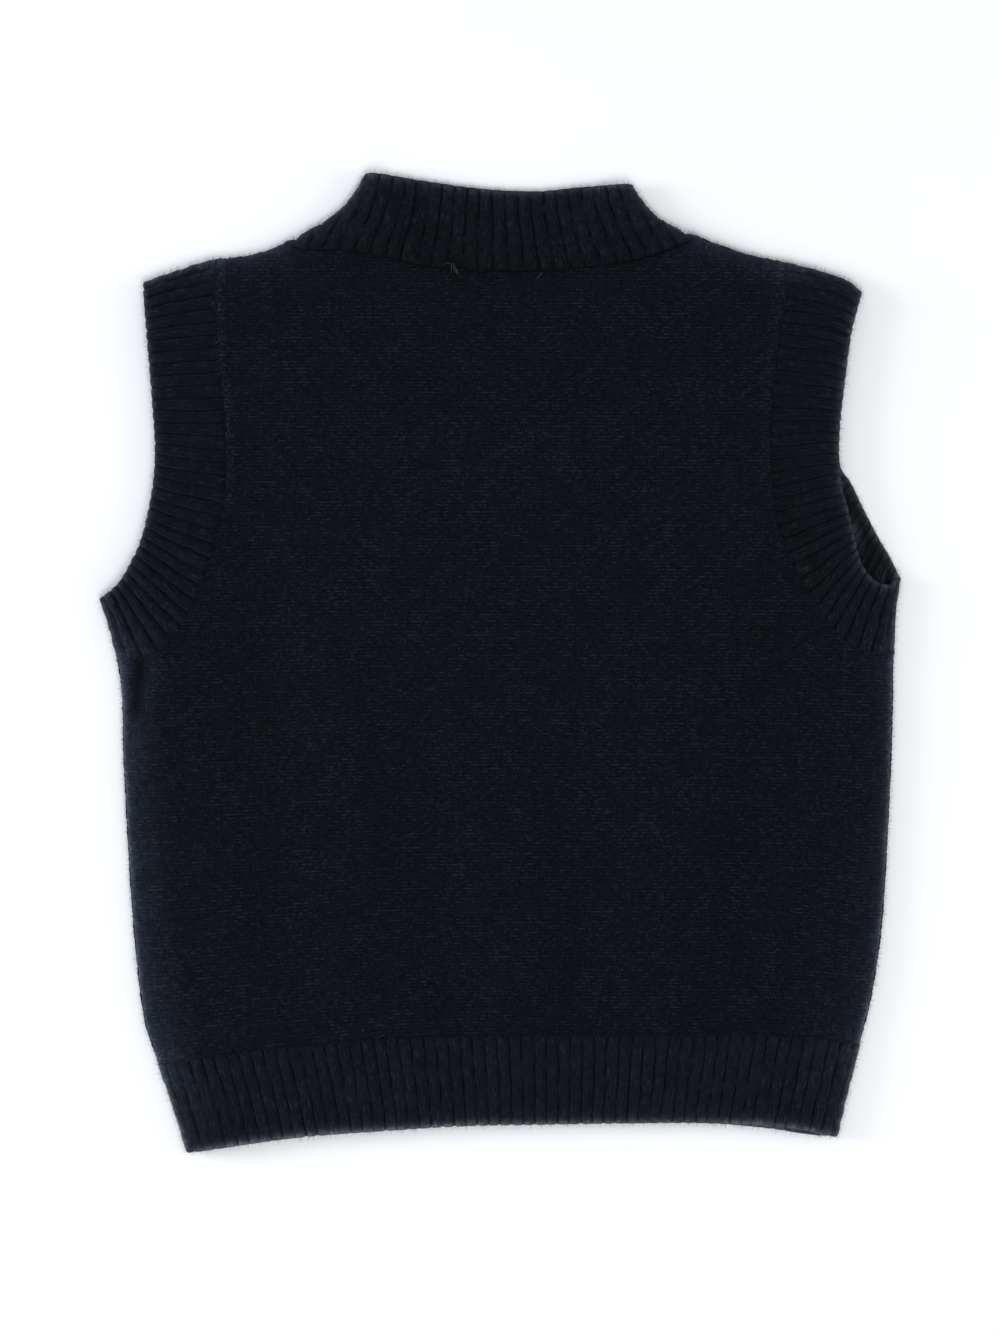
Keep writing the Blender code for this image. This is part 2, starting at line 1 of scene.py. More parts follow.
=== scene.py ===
"""Looks of a knitted sweater vest that lies flat on a surface with its back up.

Metres, in the frame of the solids: +Z up, +Y towards the neck, the underside at
height 0. Each knitted piece is a wall of cloth. Its outline comes from named
curves in plan, its lie from one law for the layer on the surface and one for
the layer on top, and its ribs and stitches from node trees.
"""

import math

import bpy
import numpy as np
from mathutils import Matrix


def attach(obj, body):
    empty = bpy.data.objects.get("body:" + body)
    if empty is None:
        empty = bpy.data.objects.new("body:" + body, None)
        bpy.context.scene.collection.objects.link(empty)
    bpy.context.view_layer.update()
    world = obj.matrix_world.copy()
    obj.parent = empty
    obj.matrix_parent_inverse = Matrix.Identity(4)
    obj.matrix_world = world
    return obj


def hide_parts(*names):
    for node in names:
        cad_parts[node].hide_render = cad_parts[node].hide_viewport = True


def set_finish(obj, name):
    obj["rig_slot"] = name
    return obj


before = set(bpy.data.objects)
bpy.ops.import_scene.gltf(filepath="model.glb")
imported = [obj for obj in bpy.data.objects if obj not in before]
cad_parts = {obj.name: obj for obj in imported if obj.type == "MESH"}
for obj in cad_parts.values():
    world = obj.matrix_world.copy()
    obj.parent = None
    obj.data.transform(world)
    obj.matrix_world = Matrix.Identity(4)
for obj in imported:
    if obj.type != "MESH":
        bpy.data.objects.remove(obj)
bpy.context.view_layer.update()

MM = 0.001
SIDES = ("left", "right")
LAYERS = ("back", "front")

# ---------------------------------------------------------------- sizes of the knit

JERSEY = 2.4 * MM           # thickness of the plain knit
RIB_CREST = 3.0 * MM        # outer face of a rib, above the band's inner face
RIB_FLOOR = 1.3 * MM        # outer face at the bottom of a groove
RIB_HOLLOW = 0.8 * MM       # how far the inner face follows a rib up
WALE = 1.57 * MM            # width of a stitch
COURSE = 1.5 * MM           # height of a stitch
WALES_PER_RIB = 4

# How the layers lie.
LAYER_GAP = 0.5 * MM
FOLD_HEIGHT = 3.0 * MM
FRONT_ROLL = 8.0 * MM
BACK_LOFT = 1.4 * MM
SIDE_PUFF = 1.5 * MM
SIDE_PUFF_PLACE = 13.0 * MM
SIDE_PUFF_WIDTH = 10.0 * MM
PUFF_ROLLS = (9.0 * MM, 14.0 * MM)
HOLE_FLOOR = 0.9 * MM
HOLE_MARGIN = 3.0 * MM
HOLE_RAMP = 16.0 * MM
NEAR_FOLD = 0.3 * MM
SEAM_FADE = 7.0 * MM        # how far from a fold a seam's relief is whole

# Unevenness by what it shapes: height, longest and shortest wave in mm, number of waves and
# seed. The first two heights are metres, and the others are shares.
RIPPLES = {
    "lie of the back": (0.16 * MM, 42, 11, 16, 11),
    "outline": (0.2 * MM, 16, 4, 12, 5),
    "seam tuck": (1.0, 14, 4, 8, 63),
    "seam ridge": (0.35, 22, 5, 10, 61),
    "seam flecks": (0.5, 16, 4, 10, 67),
    "underarm flecks": (0.6, 18, 5, 8, 71),
}

# Ribs of a band: on the half that faces up, on the half that rests, how many pass over the
# first and the last fold between the seam and the free edge, and how far ahead they do so
# half way.
RIBS = {
    "neck": (27, 34, 3.4, 2.4, 0.3),
    "left arm": (32, 32, 0.0, 0.0, 0.0),
    "right arm": (33, 33, 0.0, 0.0, 0.0),
    "hem": (57, 57, 0.0, 0.0, 0.0),
}

# How far the ribs of an armband slant towards the underarm on their way out, as a share of
# the band's back half: shares from the shoulder to the underarm, and slants there.
SLANTS = {
    "left arm": ((0.0, 0.12, 0.35, 0.62, 0.85, 1.0), (0.0, 0.0, 0.05, 0.08, 0.055, 0.0)),
    "right arm": ((0.0, 0.1, 0.3, 0.6, 0.72, 0.82, 1.0), (0.0, 0.0, 0.045, 0.07, 0.06, 0.03, 0.0)),
}

# Bands: their piece and CAD nodes, the dip at the seam and the notch of the free edge at a
# groove in mm, the share of the full groove, how much lighter the band looks (partly stretched
# yarn, partly painted light), the half width of a groove in ribs, the least share of its depth,
# and how far it wanders in ribs.
BANDS = {
    "neck": dict(piece="neck_rib", nodes=("neckband",), dip=0.2, notch=0.3, depth=0.62,
                 lighter=0.05, groove=0.25, least=0.1, wander=0.5, seed=3),
    "left arm": dict(piece="arm_rib_left", nodes=("armband_left",), dip=0.6, notch=0.4,
                     depth=0.95, lighter=0.1, groove=0.27, least=0.45, wander=0.32, seed=5),
    "right arm": dict(piece="arm_rib_right", nodes=("armband_right",), dip=0.6, notch=0.4,
                      depth=0.8, lighter=0.07, groove=0.27, least=0.4, wander=0.32, seed=8),
    "hem": dict(piece="hem_rib", nodes=("hem_back", "hem_front"), dip=0.4, notch=0.6,
                depth=0.7, lighter=0.2, groove=0.21, least=0.1, wander=0.42, seed=13),
}

# Where curves meet, in mm: x to the right, y towards the neck.
CORNERS = {
    "left band top": (-157.1, 166.8),
    "left shoulder": (-125.2, 177.3),
    "left neck": (-94.6, 184.6),
    "left collar": (-59.0, 215.6),
    "left band low": (-176.0, 28.6),
    "left underarm": (-168.2, 1.3),
    "left hem line": (-150.1, -176.4),
    "left hem end": (-137.3, -215.6),
    "right band top": (159.3, 162.8),
    "right shoulder": (126.0, 175.9),
    "right neck": (87.2, 187.4),
    "right collar": (58.1, 210.8),
    "right band low": (176.0, 37.8),
    "right underarm": (172.9, 3.5),
    "right hem line": (158.0, -167.6),
    "right hem end": (147.8, -208.6),
}

# Fold lines: first corner, points between in mm, last corner, roll in mm at each end.
FOLDS = {
    "left arm top": ("left shoulder", [(-143.0, 172.0)], "left band top", 6, 6),
    "left shoulder": (
        "left shoulder", [(-110.0, 179.2), (-101.0, 181.7)], "left neck", 6, 6),
    "left neck": (
        "left neck", [(-81.5, 191.6), (-70.4, 199.0), (-62.2, 209.4)], "left collar", 6, 6),
    "left arm low": ("left underarm", [(-171.3, 15.0)], "left band low", 14, 9),
    "left side": (
        "left hem line",
        [(-156.2, -157.1), (-160.9, -117.5), (-163.6, -77.9), (-165.6, -38.3), (-166.2, -13.0)],
        "left underarm", 20, 14),
    "left hem": ("left hem line", [(-143.6, -195.0)], "left hem end", 20, 16),
    "right arm top": ("right shoulder", [(151.8, 168.1)], "right band top", 6, 6),
    "right shoulder": (
        "right shoulder", [(110.0, 179.3), (97.6, 183.3)], "right neck", 6, 6),
    "right neck": (
        "right neck", [(76.6, 191.6), (70.4, 195.5), (62.6, 202.6)], "right collar", 6, 6),
    "right arm low": ("right underarm", [(173.5, 20.0)], "right band low", 14, 9),
    "right side": (
        "right hem line", [(163.6, -145.0), (167.6, -117.5), (170.3, -77.9), (172.5, -25.1)],
        "right underarm", 17, 14),
    "right hem": ("right hem line", [(153.6, -185.0)], "right hem end", 17, 14),
}

# Seams, in mm: first corner, points between, last corner.
SEAMS = {
    "neck back": (
        "left neck",
        [(-86.0, 182.0), (-68.6, 181.8), (-48.4, 178.2), (-31.7, 174.6), (-8.8, 173.2),
         (20.2, 173.0), (42.2, 174.7), (56.8, 176.9), (70.0, 180.4)],
        "right neck"),
    "neck front": (
        "left neck",
        [(-87.0, 164.0), (-68.0, 140.0), (-39.6, 124.0), (-4.4, 119.5), (30.8, 124.0),
         (61.6, 140.0), (80.0, 164.0)],
        "right neck"),
    "left arm back": (
        "left shoulder",
        [(-124.9, 159.7), (-124.2, 144.3), (-122.4, 126.0), (-120.6, 100.3), (-120.0, 84.0),
         (-121.2, 72.0), (-123.2, 62.0), (-127.4, 44.4), (-132.0, 33.0), (-137.5, 21.0),
         (-144.5, 9.5), (-154.0, 4.0)],
        "left underarm"),
    "left arm front": (
        "left shoulder",
        [(-122.5, 150.0), (-117.0, 110.0), (-116.5, 75.0), (-122.8, 50.0), (-132.0, 28.0),
         (-144.5, 9.5), (-154.0, 4.0)],
        "left underarm"),
    "right arm back": (
        "right shoulder",
        [(125.1, 160.0), (122.8, 145.0), (121.0, 128.0), (119.2, 112.0), (118.4, 97.0),
         (119.0, 82.0), (121.6, 64.0), (124.8, 53.0), (128.6, 43.0), (135.8, 31.0),
         (144.5, 18.0), (153.6, 8.5), (163.7, 4.8)],
        "right underarm"),
    "right arm front": (
        "right shoulder",
        [(125.0, 157.0), (120.5, 124.0), (118.6, 105.0), (120.5, 82.0), (127.5, 63.0),
         (136.5, 45.0), (145.5, 30.0), (154.0, 16.5), (162.5, 7.0)],
        "right underarm"),
    "hem back": (
        "left hem line",
        [(-140.4, -174.9), (-101.2, -169.8), (-50.6, -165.4), (0.0, -164.0), (61.6, -163.6),
         (114.4, -163.5), (146.1, -165.6)],
        "right hem line"),
    "hem front": (
        "left hem line",
        [(-101.2, -170.0), (-50.6, -166.0), (0.0, -164.6), (61.6, -164.4), (114.4, -164.6)],
        "right hem line"),
}

# Free edges, in mm: first corner, points between, last corner.
EDGES = {
    "neck back": (
        "left collar",
        [(-52.8, 215.2), (-35.2, 212.5), (-17.6, 209.9), (0.0, 208.1), (17.6, 207.7),
         (35.2, 209.4)],
        "right collar"),
    "neck front": (
        "left collar",
        [(-53.5, 197.0), (-39.0, 172.5), (-21.0, 160.5), (-3.0, 157.0), (17.0, 160.5),
         (36.0, 172.5), (51.5, 195.0)],
        "right collar"),
    "left arm back": (
        "left band top",
        [(-155.3, 142.1), (-153.1, 115.7), (-151.8, 89.3), (-153.8, 71.7), (-158.0, 54.1),
         (-161.9, 45.3), (-166.6, 36.9), (-171.0, 32.2)],
        "left band low"),
    "left arm front": (
        "left band top",
        [(-154.8, 142.1), (-152.6, 115.7), (-151.3, 89.3), (-153.3, 71.7), (-157.5, 54.1),
         (-161.4, 45.3), (-166.2, 36.9), (-170.8, 32.0)],
        "left band low"),
    "right arm back": (
        "right band top",
        [(154.9, 146.5), (151.8, 124.5), (149.2, 98.1), (150.0, 78.3), (152.7, 68.6),
         (155.8, 55.0), (159.3, 43.0), (165.4, 36.0), (172.5, 34.6)],
        "right band low"),
    "right arm front": (
        "right band top",
        [(154.9, 146.5), (151.8, 124.5), (149.4, 98.1), (150.2, 86.0), (154.4, 79.8),
         (158.2, 72.0), (162.7, 62.9), (167.4, 54.1), (172.2, 46.0)],
        "right band low"),
    "hem back": (
        "left hem end",
        [(-123.2, -213.4), (-88.0, -208.6), (-52.8, -205.9), (-17.6, -203.7), (17.6, -203.0),
         (61.6, -202.3), (96.8, -202.3), (118.0, -203.3), (136.0, -205.6)],
        "right hem end"),
    "hem front": (
        "left hem end",
        [(-123.2, -212.9), (-88.0, -208.1), (-52.8, -205.4), (-17.6, -203.3), (17.6, -202.8),
         (61.6, -202.6), (96.8, -203.1), (120.0, -205.3), (136.0, -207.7)],
        "right hem end"),
}

# Soft troughs (height below zero) and swells of the back: x, y, height, half width, in mm.
CREASES = (
    ("outer trough, left", (-110.0, 58.0, -0.9, 13), (-108.0, -40.0, -1.3, 14),
     (-98.0, -135.0, -1.1, 13)),
    ("inner trough, left", (-55.0, -8.0, -0.6, 11), (-37.0, -82.0, -1.4, 13),
     (-19.0, -165.0, -1.0, 12)),
    ("inner trough, right", (22.0, -16.0, -0.6, 11), (28.0, -90.0, -1.3, 13),
     (32.0, -165.0, -1.0, 12)),
    ("outer trough, right", (121.0, 45.0, -0.9, 10), (118.0, -8.0, -1.3, 13),
     (103.0, -91.0, -1.4, 14), (97.0, -165.0, -1.0, 13)),
    ("outer swell, left", (-76.0, 30.0, 0.3, 12), (-78.0, -60.0, 0.9, 15),
     (-70.0, -160.0, 0.8, 14)),
    ("middle swell", (-14.0, -20.0, 0.3, 12), (-7.0, -90.0, 0.8, 12), (6.0, -160.0, 0.7, 11)),
    ("inner swell, right", (62.0, 10.0, 0.3, 14), (66.0, -80.0, 0.9, 15), (64.0, -160.0, 0.8, 14)),
    ("outer swell, right", (145.0, -30.0, 0.5, 10), (141.0, -100.0, 0.8, 12),
     (132.0, -160.0, 0.6, 11)),
    ("neckline of the front", (-46.0, 127.0, -0.7, 9), (-20.0, 119.5, -1.2, 9),
     (37.0, 121.0, -1.2, 9), (72.0, 136.0, -0.6, 8)),
    ("upper swell", (-60.0, 96.0, 0.5, 17), (0.0, 88.0, 0.8, 20), (60.0, 96.0, 0.5, 17)),
    ("underarm pucker, left", (-159.0, 3.0, -1.2, 4), (-159.4, -18.0, -1.2, 4)),
)

# Small wrinkles that the solids leave out, in the same columns.
WRINKLES = (
    ("rim of the pucker", (-151.5, 3.0, 0.9, 2.6), (-154.5, -20.0, 1.0, 3.0),
     (-156.0, -34.0, 0.3, 4.0)),
    ("outer rim of the pucker", (-164.5, -2.0, 0.3, 2.5), (-164.3, -20.0, 0.4, 2.5)),
    ("tuck by the left armhole", (-128.0, 27.0, 0.5, 2.2), (-117.0, 28.0, 0.4, 2.5)),
    ("tuck by the right armhole", (134.0, 22.0, 0.45, 2.4), (126.0, 17.0, 0.35, 2.8)),
    ("pull at the left neck", (-90.0, 176.0, 0.5, 3.5), (-80.0, 160.0, 0.2, 5.0)),
    ("pull at the right neck", (84.0, 180.0, 0.5, 3.5), (76.0, 163.0, 0.2, 5.0)),
)

# Painted sheen along the outline, where folds and free edges catch the light: kind and name of the
# curve, strength at its start and end, reach in mm at both, and strength of the painted highlight at
# the very rim.
GLOWS = (
    ("fold", "left side", 1.2, 1.4, 11, 8, 9.4),
    ("fold", "left hem", 0.8, 0.9, 8, 6, 10.5),
    ("fold", "left arm low", 0.8, 0.7, 9, 7, 5.6),
    ("fold", "left shoulder", 0.9, 1.0, 5, 5, 4.6),
    ("fold", "left arm top", 0.9, 1.0, 5, 5, 6.0),
    ("fold", "left neck", 1.0, 1.0, 5, 5, 4.4),
    ("fold", "right side", 1.3, 0.8, 8, 5, 9.8),
    ("fold", "right hem", 0.5, 0.7, 8, 6, 8.6),
    ("fold", "right arm low", 0.6, 0.6, 6, 4, 5.4),
    ("fold", "right shoulder", 1.5, 1.7, 4, 4, 3.4),
    ("fold", "right arm top", 1.4, 1.5, 5, 4, 3.8),
    ("fold", "right neck", 1.1, 1.1, 5, 5, 5.0),
    ("edge", "neck back", 0.7, 0.7, 5, 5, 4.8),
    ("edge", "left arm back", 0.4, 0.4, 4, 4, 6.0),
    ("edge", "right arm back", 0.3, 0.6, 4, 3, 5.4),
    ("edge", "right arm front", 0.2, 0.3, 3, 3, 9.0),
    ("edge", "hem back", 0.3, 0.3, 3, 3, 16.0),
    ("edge", "hem front", 0.3, 0.3, 2, 2, 13.0),
)
RIM_REACH = {"fold": 0.9 * MM, "edge": 1.0 * MM}

# Painted shade (below zero) and painted light of the knit that its height alone doesn't give:
# x, y, shade as millimetres of height, half width in mm.
SHADES = (
    ("upper back", (-60.0, 150.0, -0.7, 38), (60.0, 150.0, -0.7, 38)),
    ("pucker", (-158.4, 0.0, -9.0, 3.6), (-159.6, -21.0, -7.5, 3.0)),
    ("lit side of the pucker", (-150.4, 3.0, 7.0, 2.2), (-152.0, -14.0, 5.5, 2.4),
     (-154.0, -40.0, 1.0, 3.0)),
    ("right end of the neck seam", (66.0, 181.5, -3.0, 2.0), (82.0, 184.2, -4.0, 1.8)),
)
SEAM_LIGHT = {"left": 3.2, "right": 1.8}    # painted light on the rolled edge beside an armhole seam

# How strong the painted highlight flecks are along the armhole seams, where they lie on the panel,
# how far they reach there and on the band, and the heights between which the band's start.
SEAM_FLECKS = {"left": 1.2, "right": 0.5}
FLECK_PLACE = 1.4 * MM
FLECK_REACH = 2.2 * MM
BAND_FLECK_REACH = 1.6 * MM
BAND_FLECKS = (105 * MM, 150 * MM)

# The same painted highlight flecks on an armband's ribs near the underarm: strength, and heights
# where they fade.
UNDERARM_FLECKS = 0.35
UNDERARM = (38 * MM, 72 * MM)

# Shade on both sides of the neck's and the hem's seam, and how far it reaches.
SEAM_SHADOWS = {"neck": (-2.9, 2.2 * MM), "hem": (-2.2, 1.3 * MM)}

# Shade of an armband's ribs near their seam, its share by height in mm, and its reach.
ARM_SHADOW = -3.8
ARM_SHADOW_SHARES = ((10.0, 25.0, 42.0, 68.0, 100.0, 145.0), (0.0, 0.3, 1.0, 1.0, 0.35, 0.0))
ARM_SHADOW_REACH = 3.0 * MM

# Loose ends of pale thread: the layer that each lies on, and its way over the knit in mm,
# as x, y and height.
THREAD_ENDS = (
    ("back", (-20.9, 176.0, 0.3), (-21.4, 174.2, 0.9), (-21.2, 172.1, 0.3)),
    ("back", (-20.7, 176.2, 0.3), (-20.5, 174.0, 1.1), (-19.8, 171.7, 0.4)),
    ("back", (-20.5, 176.1, 0.3), (-19.7, 173.9, 1.2), (-18.9, 170.9, 0.3)),
    ("back", (-20.4, 175.8, 0.3), (-19.2, 173.2, 0.9), (-18.1, 170.8, 0.3)),
    ("back", (-24.6, 175.0, 0.2), (-22.9, 175.9, 0.6), (-21.0, 174.9, 0.7)),
    ("back", (15.8, 168.6, 0.2), (17.2, 169.9, 0.5), (18.7, 171.9, 0.2)),
    ("front", (133.0, -205.9, 0.3), (136.4, -206.9, 0.5), (139.0, -207.4, 0.5), (141.4, -208.4, 0.3)),
)

# Shallow hollows of the underside, where the front lifts off the surface.
HOLLOWS = (
    ("left hollow", (-95.0, 40.0, 0.5, 14), (-88.0, -60.0, 0.6, 16), (-80.0, -140.0, 0.4, 12)),
    ("middle hollow", (-10.0, 60.0, 0.3, 15), (4.0, -60.0, 0.6, 16), (-4.0, -140.0, 0.4, 14)),
    ("right hollow", (92.0, 50.0, 0.4, 14), (98.0, -50.0, 0.6, 15), (88.0, -145.0, 0.4, 13)),
)


# ---------------------------------------------------------------- soft steps

def blend(first, last, share):
    """From a first value to a last one, by a share. Works on numbers, arrays and wires."""
    return first * (1 - share) + last * share


def ease(value, low, high):
    """A soft step from 0 at low to 1 at high."""
    step = np.clip((value - low) / (high - low), 0.0, 1.0)
    return step * step * (3.0 - 2.0 * step)


def bell(distance, width):
    """1 at no distance, and softly down to 0 past the width."""
    return np.exp(-((distance / width) ** 2))


def at_least(least, step):
    """A step from 0 to 1 that starts at a least share instead. Works on wires as well."""
    return least + (1.0 - least) * step


# ---------------------------------------------------------------- curves in plan

def smooth(points, per_span=8):
    """A centripetal Catmull-Rom curve through the points, as a dense polyline."""
    first = 2 * points[0] - points[1]
    last = 2 * points[-1] - points[-2]
    knots = np.vstack([first, points, last])
    dense = []
    for p0, p1, p2, p3 in zip(knots, knots[1:], knots[2:], knots[3:]):
        t1 = math.sqrt(np.linalg.norm(p1 - p0))
        t2 = t1 + math.sqrt(np.linalg.norm(p2 - p1))
        t3 = t2 + math.sqrt(np.linalg.norm(p3 - p2))
        for t in np.linspace(t1, t2, per_span, endpoint=False):
            a1 = (p0 * (t1 - t) + p1 * t) / t1
            a2 = (p1 * (t2 - t) + p2 * (t - t1)) / (t2 - t1)
            a3 = (p2 * (t3 - t) + p3 * (t - t2)) / (t3 - t2)
            b1 = (a1 * (t2 - t) + a2 * t) / t2
            b2 = (a2 * (t3 - t) + a3 * (t - t1)) / (t3 - t1)
            dense.append((b1 * (t2 - t) + b2 * (t - t1)) / (t2 - t1))
    dense.append(points[-1])
    return np.array(dense)


def run(line):
    """Distance along a polyline at each of its points."""
    return np.concatenate([[0.0], np.cumsum(np.linalg.norm(np.diff(line, axis=0), axis=1))])


def curve(row):
    """The curve of a table row, in metres: columns x, y and share of its length."""
    start, between, end = row[:3]
    line = smooth(np.array([CORNERS[start], *between, CORNERS[end]]) * MM)
    at = run(line)
    return np.column_stack([line, at / at[-1]])


def turned(path):
    """A curve that runs the other way."""
    return np.column_stack([path[::-1, :2], 1.0 - path[::-1, 2]])


def joined(paths, breaks):
    """Curves end to end as one, with their joints at these shares."""
    parts = []
    for path, low, high in zip(paths, breaks, breaks[1:]):
        parts.append(np.column_stack([path[:, :2], low + (high - low) * path[:, 2]]))
    return np.vstack(parts)


def along(path, shares):
    """The points of a curve at these shares."""
    return np.stack([np.interp(shares, path[:, 2], path[:, k]) for k in (0, 1)], -1)


def patch(low, high, left, right, across, up):
    """Points of the Coons patch between four curves, at shares across and up."""
    u, v = across[..., None], up[..., None]
    corners = ((1 - u) * (1 - v) * low[0, :2] + u * (1 - v) * low[-1, :2]
               + (1 - u) * v * high[0, :2] + u * v * high[-1, :2])
    return ((1 - v) * along(low, across) + v * along(high, across)
            + (1 - u) * along(left, up) + u * along(right, up) - corners)


FOLD = {name: curve(row) for name, row in FOLDS.items()}
SEAM = {name: curve(row) for name, row in SEAMS.items()}
EDGE = {name: curve(row) for name, row in EDGES.items()}


# ---------------------------------------------------------------- how the layers lie

def inward_of(ahead, places):
    """Directions square to others in plan, which point towards the middle of the vest."""
    aside = np.stack([-ahead[:, 1], ahead[:, 0]], -1)
    return aside * np.sign(-np.sum(aside * places, axis=1))[:, None]


def fold_segments():
    """All fold lines as short segments: starts, ends, inward normals, rolls at both ends."""
    starts, ends, inward, rolls = [], [], [], []
    for name, row in FOLDS.items():
        line = FOLD[name][:, :2]
        roll = np.interp(FOLD[name][:, 2], [0.0, 1.0], [row[3] * MM, row[4] * MM])
        normals = inward_of(np.diff(line, axis=0), (line[1:] + line[:-1]) / 2)
        starts.append(line[:-1])
        ends.append(line[1:])
        inward.append(normals / np.linalg.norm(normals, axis=1)[:, None])
        rolls.append(np.stack([roll[:-1], roll[1:]], -1))
    return tuple(np.vstack(part) for part in (starts, ends, inward, rolls))


FOLD_START, FOLD_END, FOLD_INWARD, FOLD_ROLLS = fold_segments()


def nearest(places, start, end, batch=4096):
    """For each place the nearest of some segments: distance, point on it, its index, share."""
    step = end - start
    square = np.sum(step * step, axis=1)
    found = []
    for first in range(0, len(places), batch):
        part = places[first:first + batch]
        away_x = part[:, 0, None] - start[:, 0]
        away_y = part[:, 1, None] - start[:, 1]
        share = np.clip((away_x * step[:, 0] + away_y * step[:, 1]) / square, 0.0, 1.0)
        gap = (away_x - share * step[:, 0]) ** 2 + (away_y - share * step[:, 1]) ** 2
        which = np.argmin(gap, axis=1)
        rows = np.arange(len(part))
        found.append((np.sqrt(gap[rows, which]), which, share[rows, which]))
    distance, which, share = (np.concatenate(part) for part in zip(*found))
    return distance, start[which] + share[:, None] * step[which], which, share


def distance_to(places, *paths):
    """Distance from each place to the nearest of some curves."""
    start = np.vstack([path[:-1, :2] for path in paths])
    end = np.vstack([path[1:, :2] for path in paths])
    return nearest(places, start, end)[0]


def from_folds(places):
    """Distance from each place to the nearest fold."""
    return nearest(places, FOLD_START, FOLD_END)[0]


def from_armholes(places, layer):
    """Distance from each place to the nearer armhole seam of a layer."""
    return distance_to(places, *(SEAM[f"{side} arm {layer}"] for side in SIDES))


def by_side(places, values):
    """The left value for places left of the middle, and the right one for the others."""
    return np.where(places[:, 0] < 0.0, values["left"], values["right"])


def relief(places, table):
    """Sum of the soft forms of a table at each place."""
    total = np.zeros(len(places))
    for _, *rows in table:
        form = np.array(rows) * MM
        distance, _, which, share = nearest(places, form[:-1, :2], form[1:, :2])
        height, width = (blend(form[which, k], form[which + 1, k], share) for k in (2, 3))
        total += height * bell(distance, width)
    return total


def glow(places):
    """Painted sheen at each place near the folds and free edges, through its depth, and the painted
    highlight at the very rim.
    """
    total, rim = np.zeros(len(places)), np.zeros(len(places))
    for kind, name, start, end, near, far, at_rim in GLOWS:
        path = FOLD[name] if kind == "fold" else EDGE[name]
        distance, _, which, share = nearest(places, path[:-1, :2], path[1:, :2])
        share = blend(path[which, 2], path[which + 1, 2], share)
        total += blend(start, end, share) * np.exp(-distance / (blend(near, far, share) * MM))
        rim = np.maximum(rim, at_rim * np.exp(-distance / RIM_REACH[kind]))
    return total, rim


def ripples(places, name):
    """Faint uneven waves, as knitting has when it lies: a sum of a few slanted sines."""
    height, longest, shortest, count, seed = RIPPLES[name]
    draw = np.random.default_rng(seed)
    total = np.zeros(len(places))
    for _ in range(count):
        angle, phase = draw.uniform(0.0, 2.0 * math.pi, 2)
        length = math.exp(draw.uniform(math.log(shortest * MM), math.log(longest * MM)))
        travel = places @ (math.cos(angle), math.sin(angle))
        total += np.sin(travel * 2.0 * math.pi / length + phase)
    return total * height / math.sqrt(count)


def hole_share(places):
    """0 where the front lies under a place, rising to 1 inside the front's neck hole."""
    edge = EDGE["neck front"]
    share = np.zeros(len(places))
    inside = places[:, 1] > np.interp(places[:, 0], edge[:, 0], edge[:, 1], left=1.0, right=1.0)
    if inside.any():
        share[inside] = ease(distance_to(places[inside], edge), HOLE_MARGIN,
                             HOLE_MARGIN + HOLE_RAMP)
    return share


def back_floor(places, distance, roll):
    """Height of the back's inner face away from the folds."""
    puff = bell(distance - SIDE_PUFF_PLACE, SIDE_PUFF_WIDTH)
    puff *= SIDE_PUFF * np.interp(roll, PUFF_ROLLS, (0.0, 1.0))
    lift = BACK_LOFT + relief(places, CREASES) + relief(places, WRINKLES) + puff
    lift += ripples(places, "lie of the back")
    hole = hole_share(places)
    covered = JERSEY + LAYER_GAP + np.maximum(lift, 0.0)
    return covered * (1.0 - hole) + HOLE_FLOOR * hole


def lie(places, heights, front):
    """Points at heights above the inner face of the front layer, or of the back one."""
    distance, point, which, share = nearest(places, FOLD_START, FOLD_END)
    inward = FOLD_INWARD[which]
    far = distance > NEAR_FOLD
    inward[far] = (places[far] - point[far]) / distance[far, None]
    roll = blend(FOLD_ROLLS[which, 0], FOLD_ROLLS[which, 1], share)
    cosine = np.clip(1.0 - distance / np.where(front, FRONT_ROLL, roll), 0.0, 1.0)
    sine = np.sqrt(1.0 - cosine ** 2)
    uneven = JERSEY - heights + ripples(point, "outline")
    plan = places + inward * (uneven * cosine)[:, None]
    above = back_floor(places, distance, roll) + heights
    below = JERSEY - heights + relief(places, HOLLOWS)
    level = FOLD_HEIGHT + (np.where(front, below, above) - FOLD_HEIGHT) * sine
    return np.column_stack([plan, np.maximum(level, 0.0)])


# ---------------------------------------------------------------- meshes

def grid_quads(columns, rows, round_columns, round_rows):
    """Corner indices (column, row) of a grid's quads: arrays of shape (quads, 4)."""
    at_column = np.arange(columns if round_columns else columns - 1)
    at_row = np.arange(rows if round_rows else rows - 1)
    column, row = (part.ravel() for part in np.meshgrid(at_column, at_row, indexing="ij"))
    corners = np.array([(0, 0), (1, 0), (1, 1), (0, 1)])
    return column[:, None] + corners[:, 0], row[:, None] + corners[:, 1]


def volume(points, quads):
    """The signed volume that closed quads enclose."""
    a, b, c, d = (points[quads[:, k]] for k in range(4))
    split = np.concatenate([np.cross(a, b) * c, np.cross(a, c) * d])
    return split.sum() / 6.0


def set_attributes(mesh, attributes):
    """Gives a mesh's points named values: a number each, or a vector."""
    for key, values in attributes.items():
        kind, field = ("FLOAT", "value") if values.ndim == 1 else ("FLOAT_VECTOR", "vector")
        mesh.attributes.new(key, kind, "POINT").data.foreach_set(
            field, values.astype(np.float32).ravel())


def cloth_mesh(name, points, quads, flat, attributes):
    """A closed cloth mesh from points and quads, with the flat place of each quad's corner."""
    if volume(points, quads) < 0.0:
        quads, flat = quads[:, ::-1], flat[:, ::-1]
    mesh = bpy.data.meshes.new(name)
    mesh.from_pydata(points, [], quads)
    mesh.uv_layers.new(name="flat").data.foreach_set("uv", flat.astype(np.float32).ravel())
    set_attributes(mesh, attributes)
    mesh.shade_smooth()
    return mesh


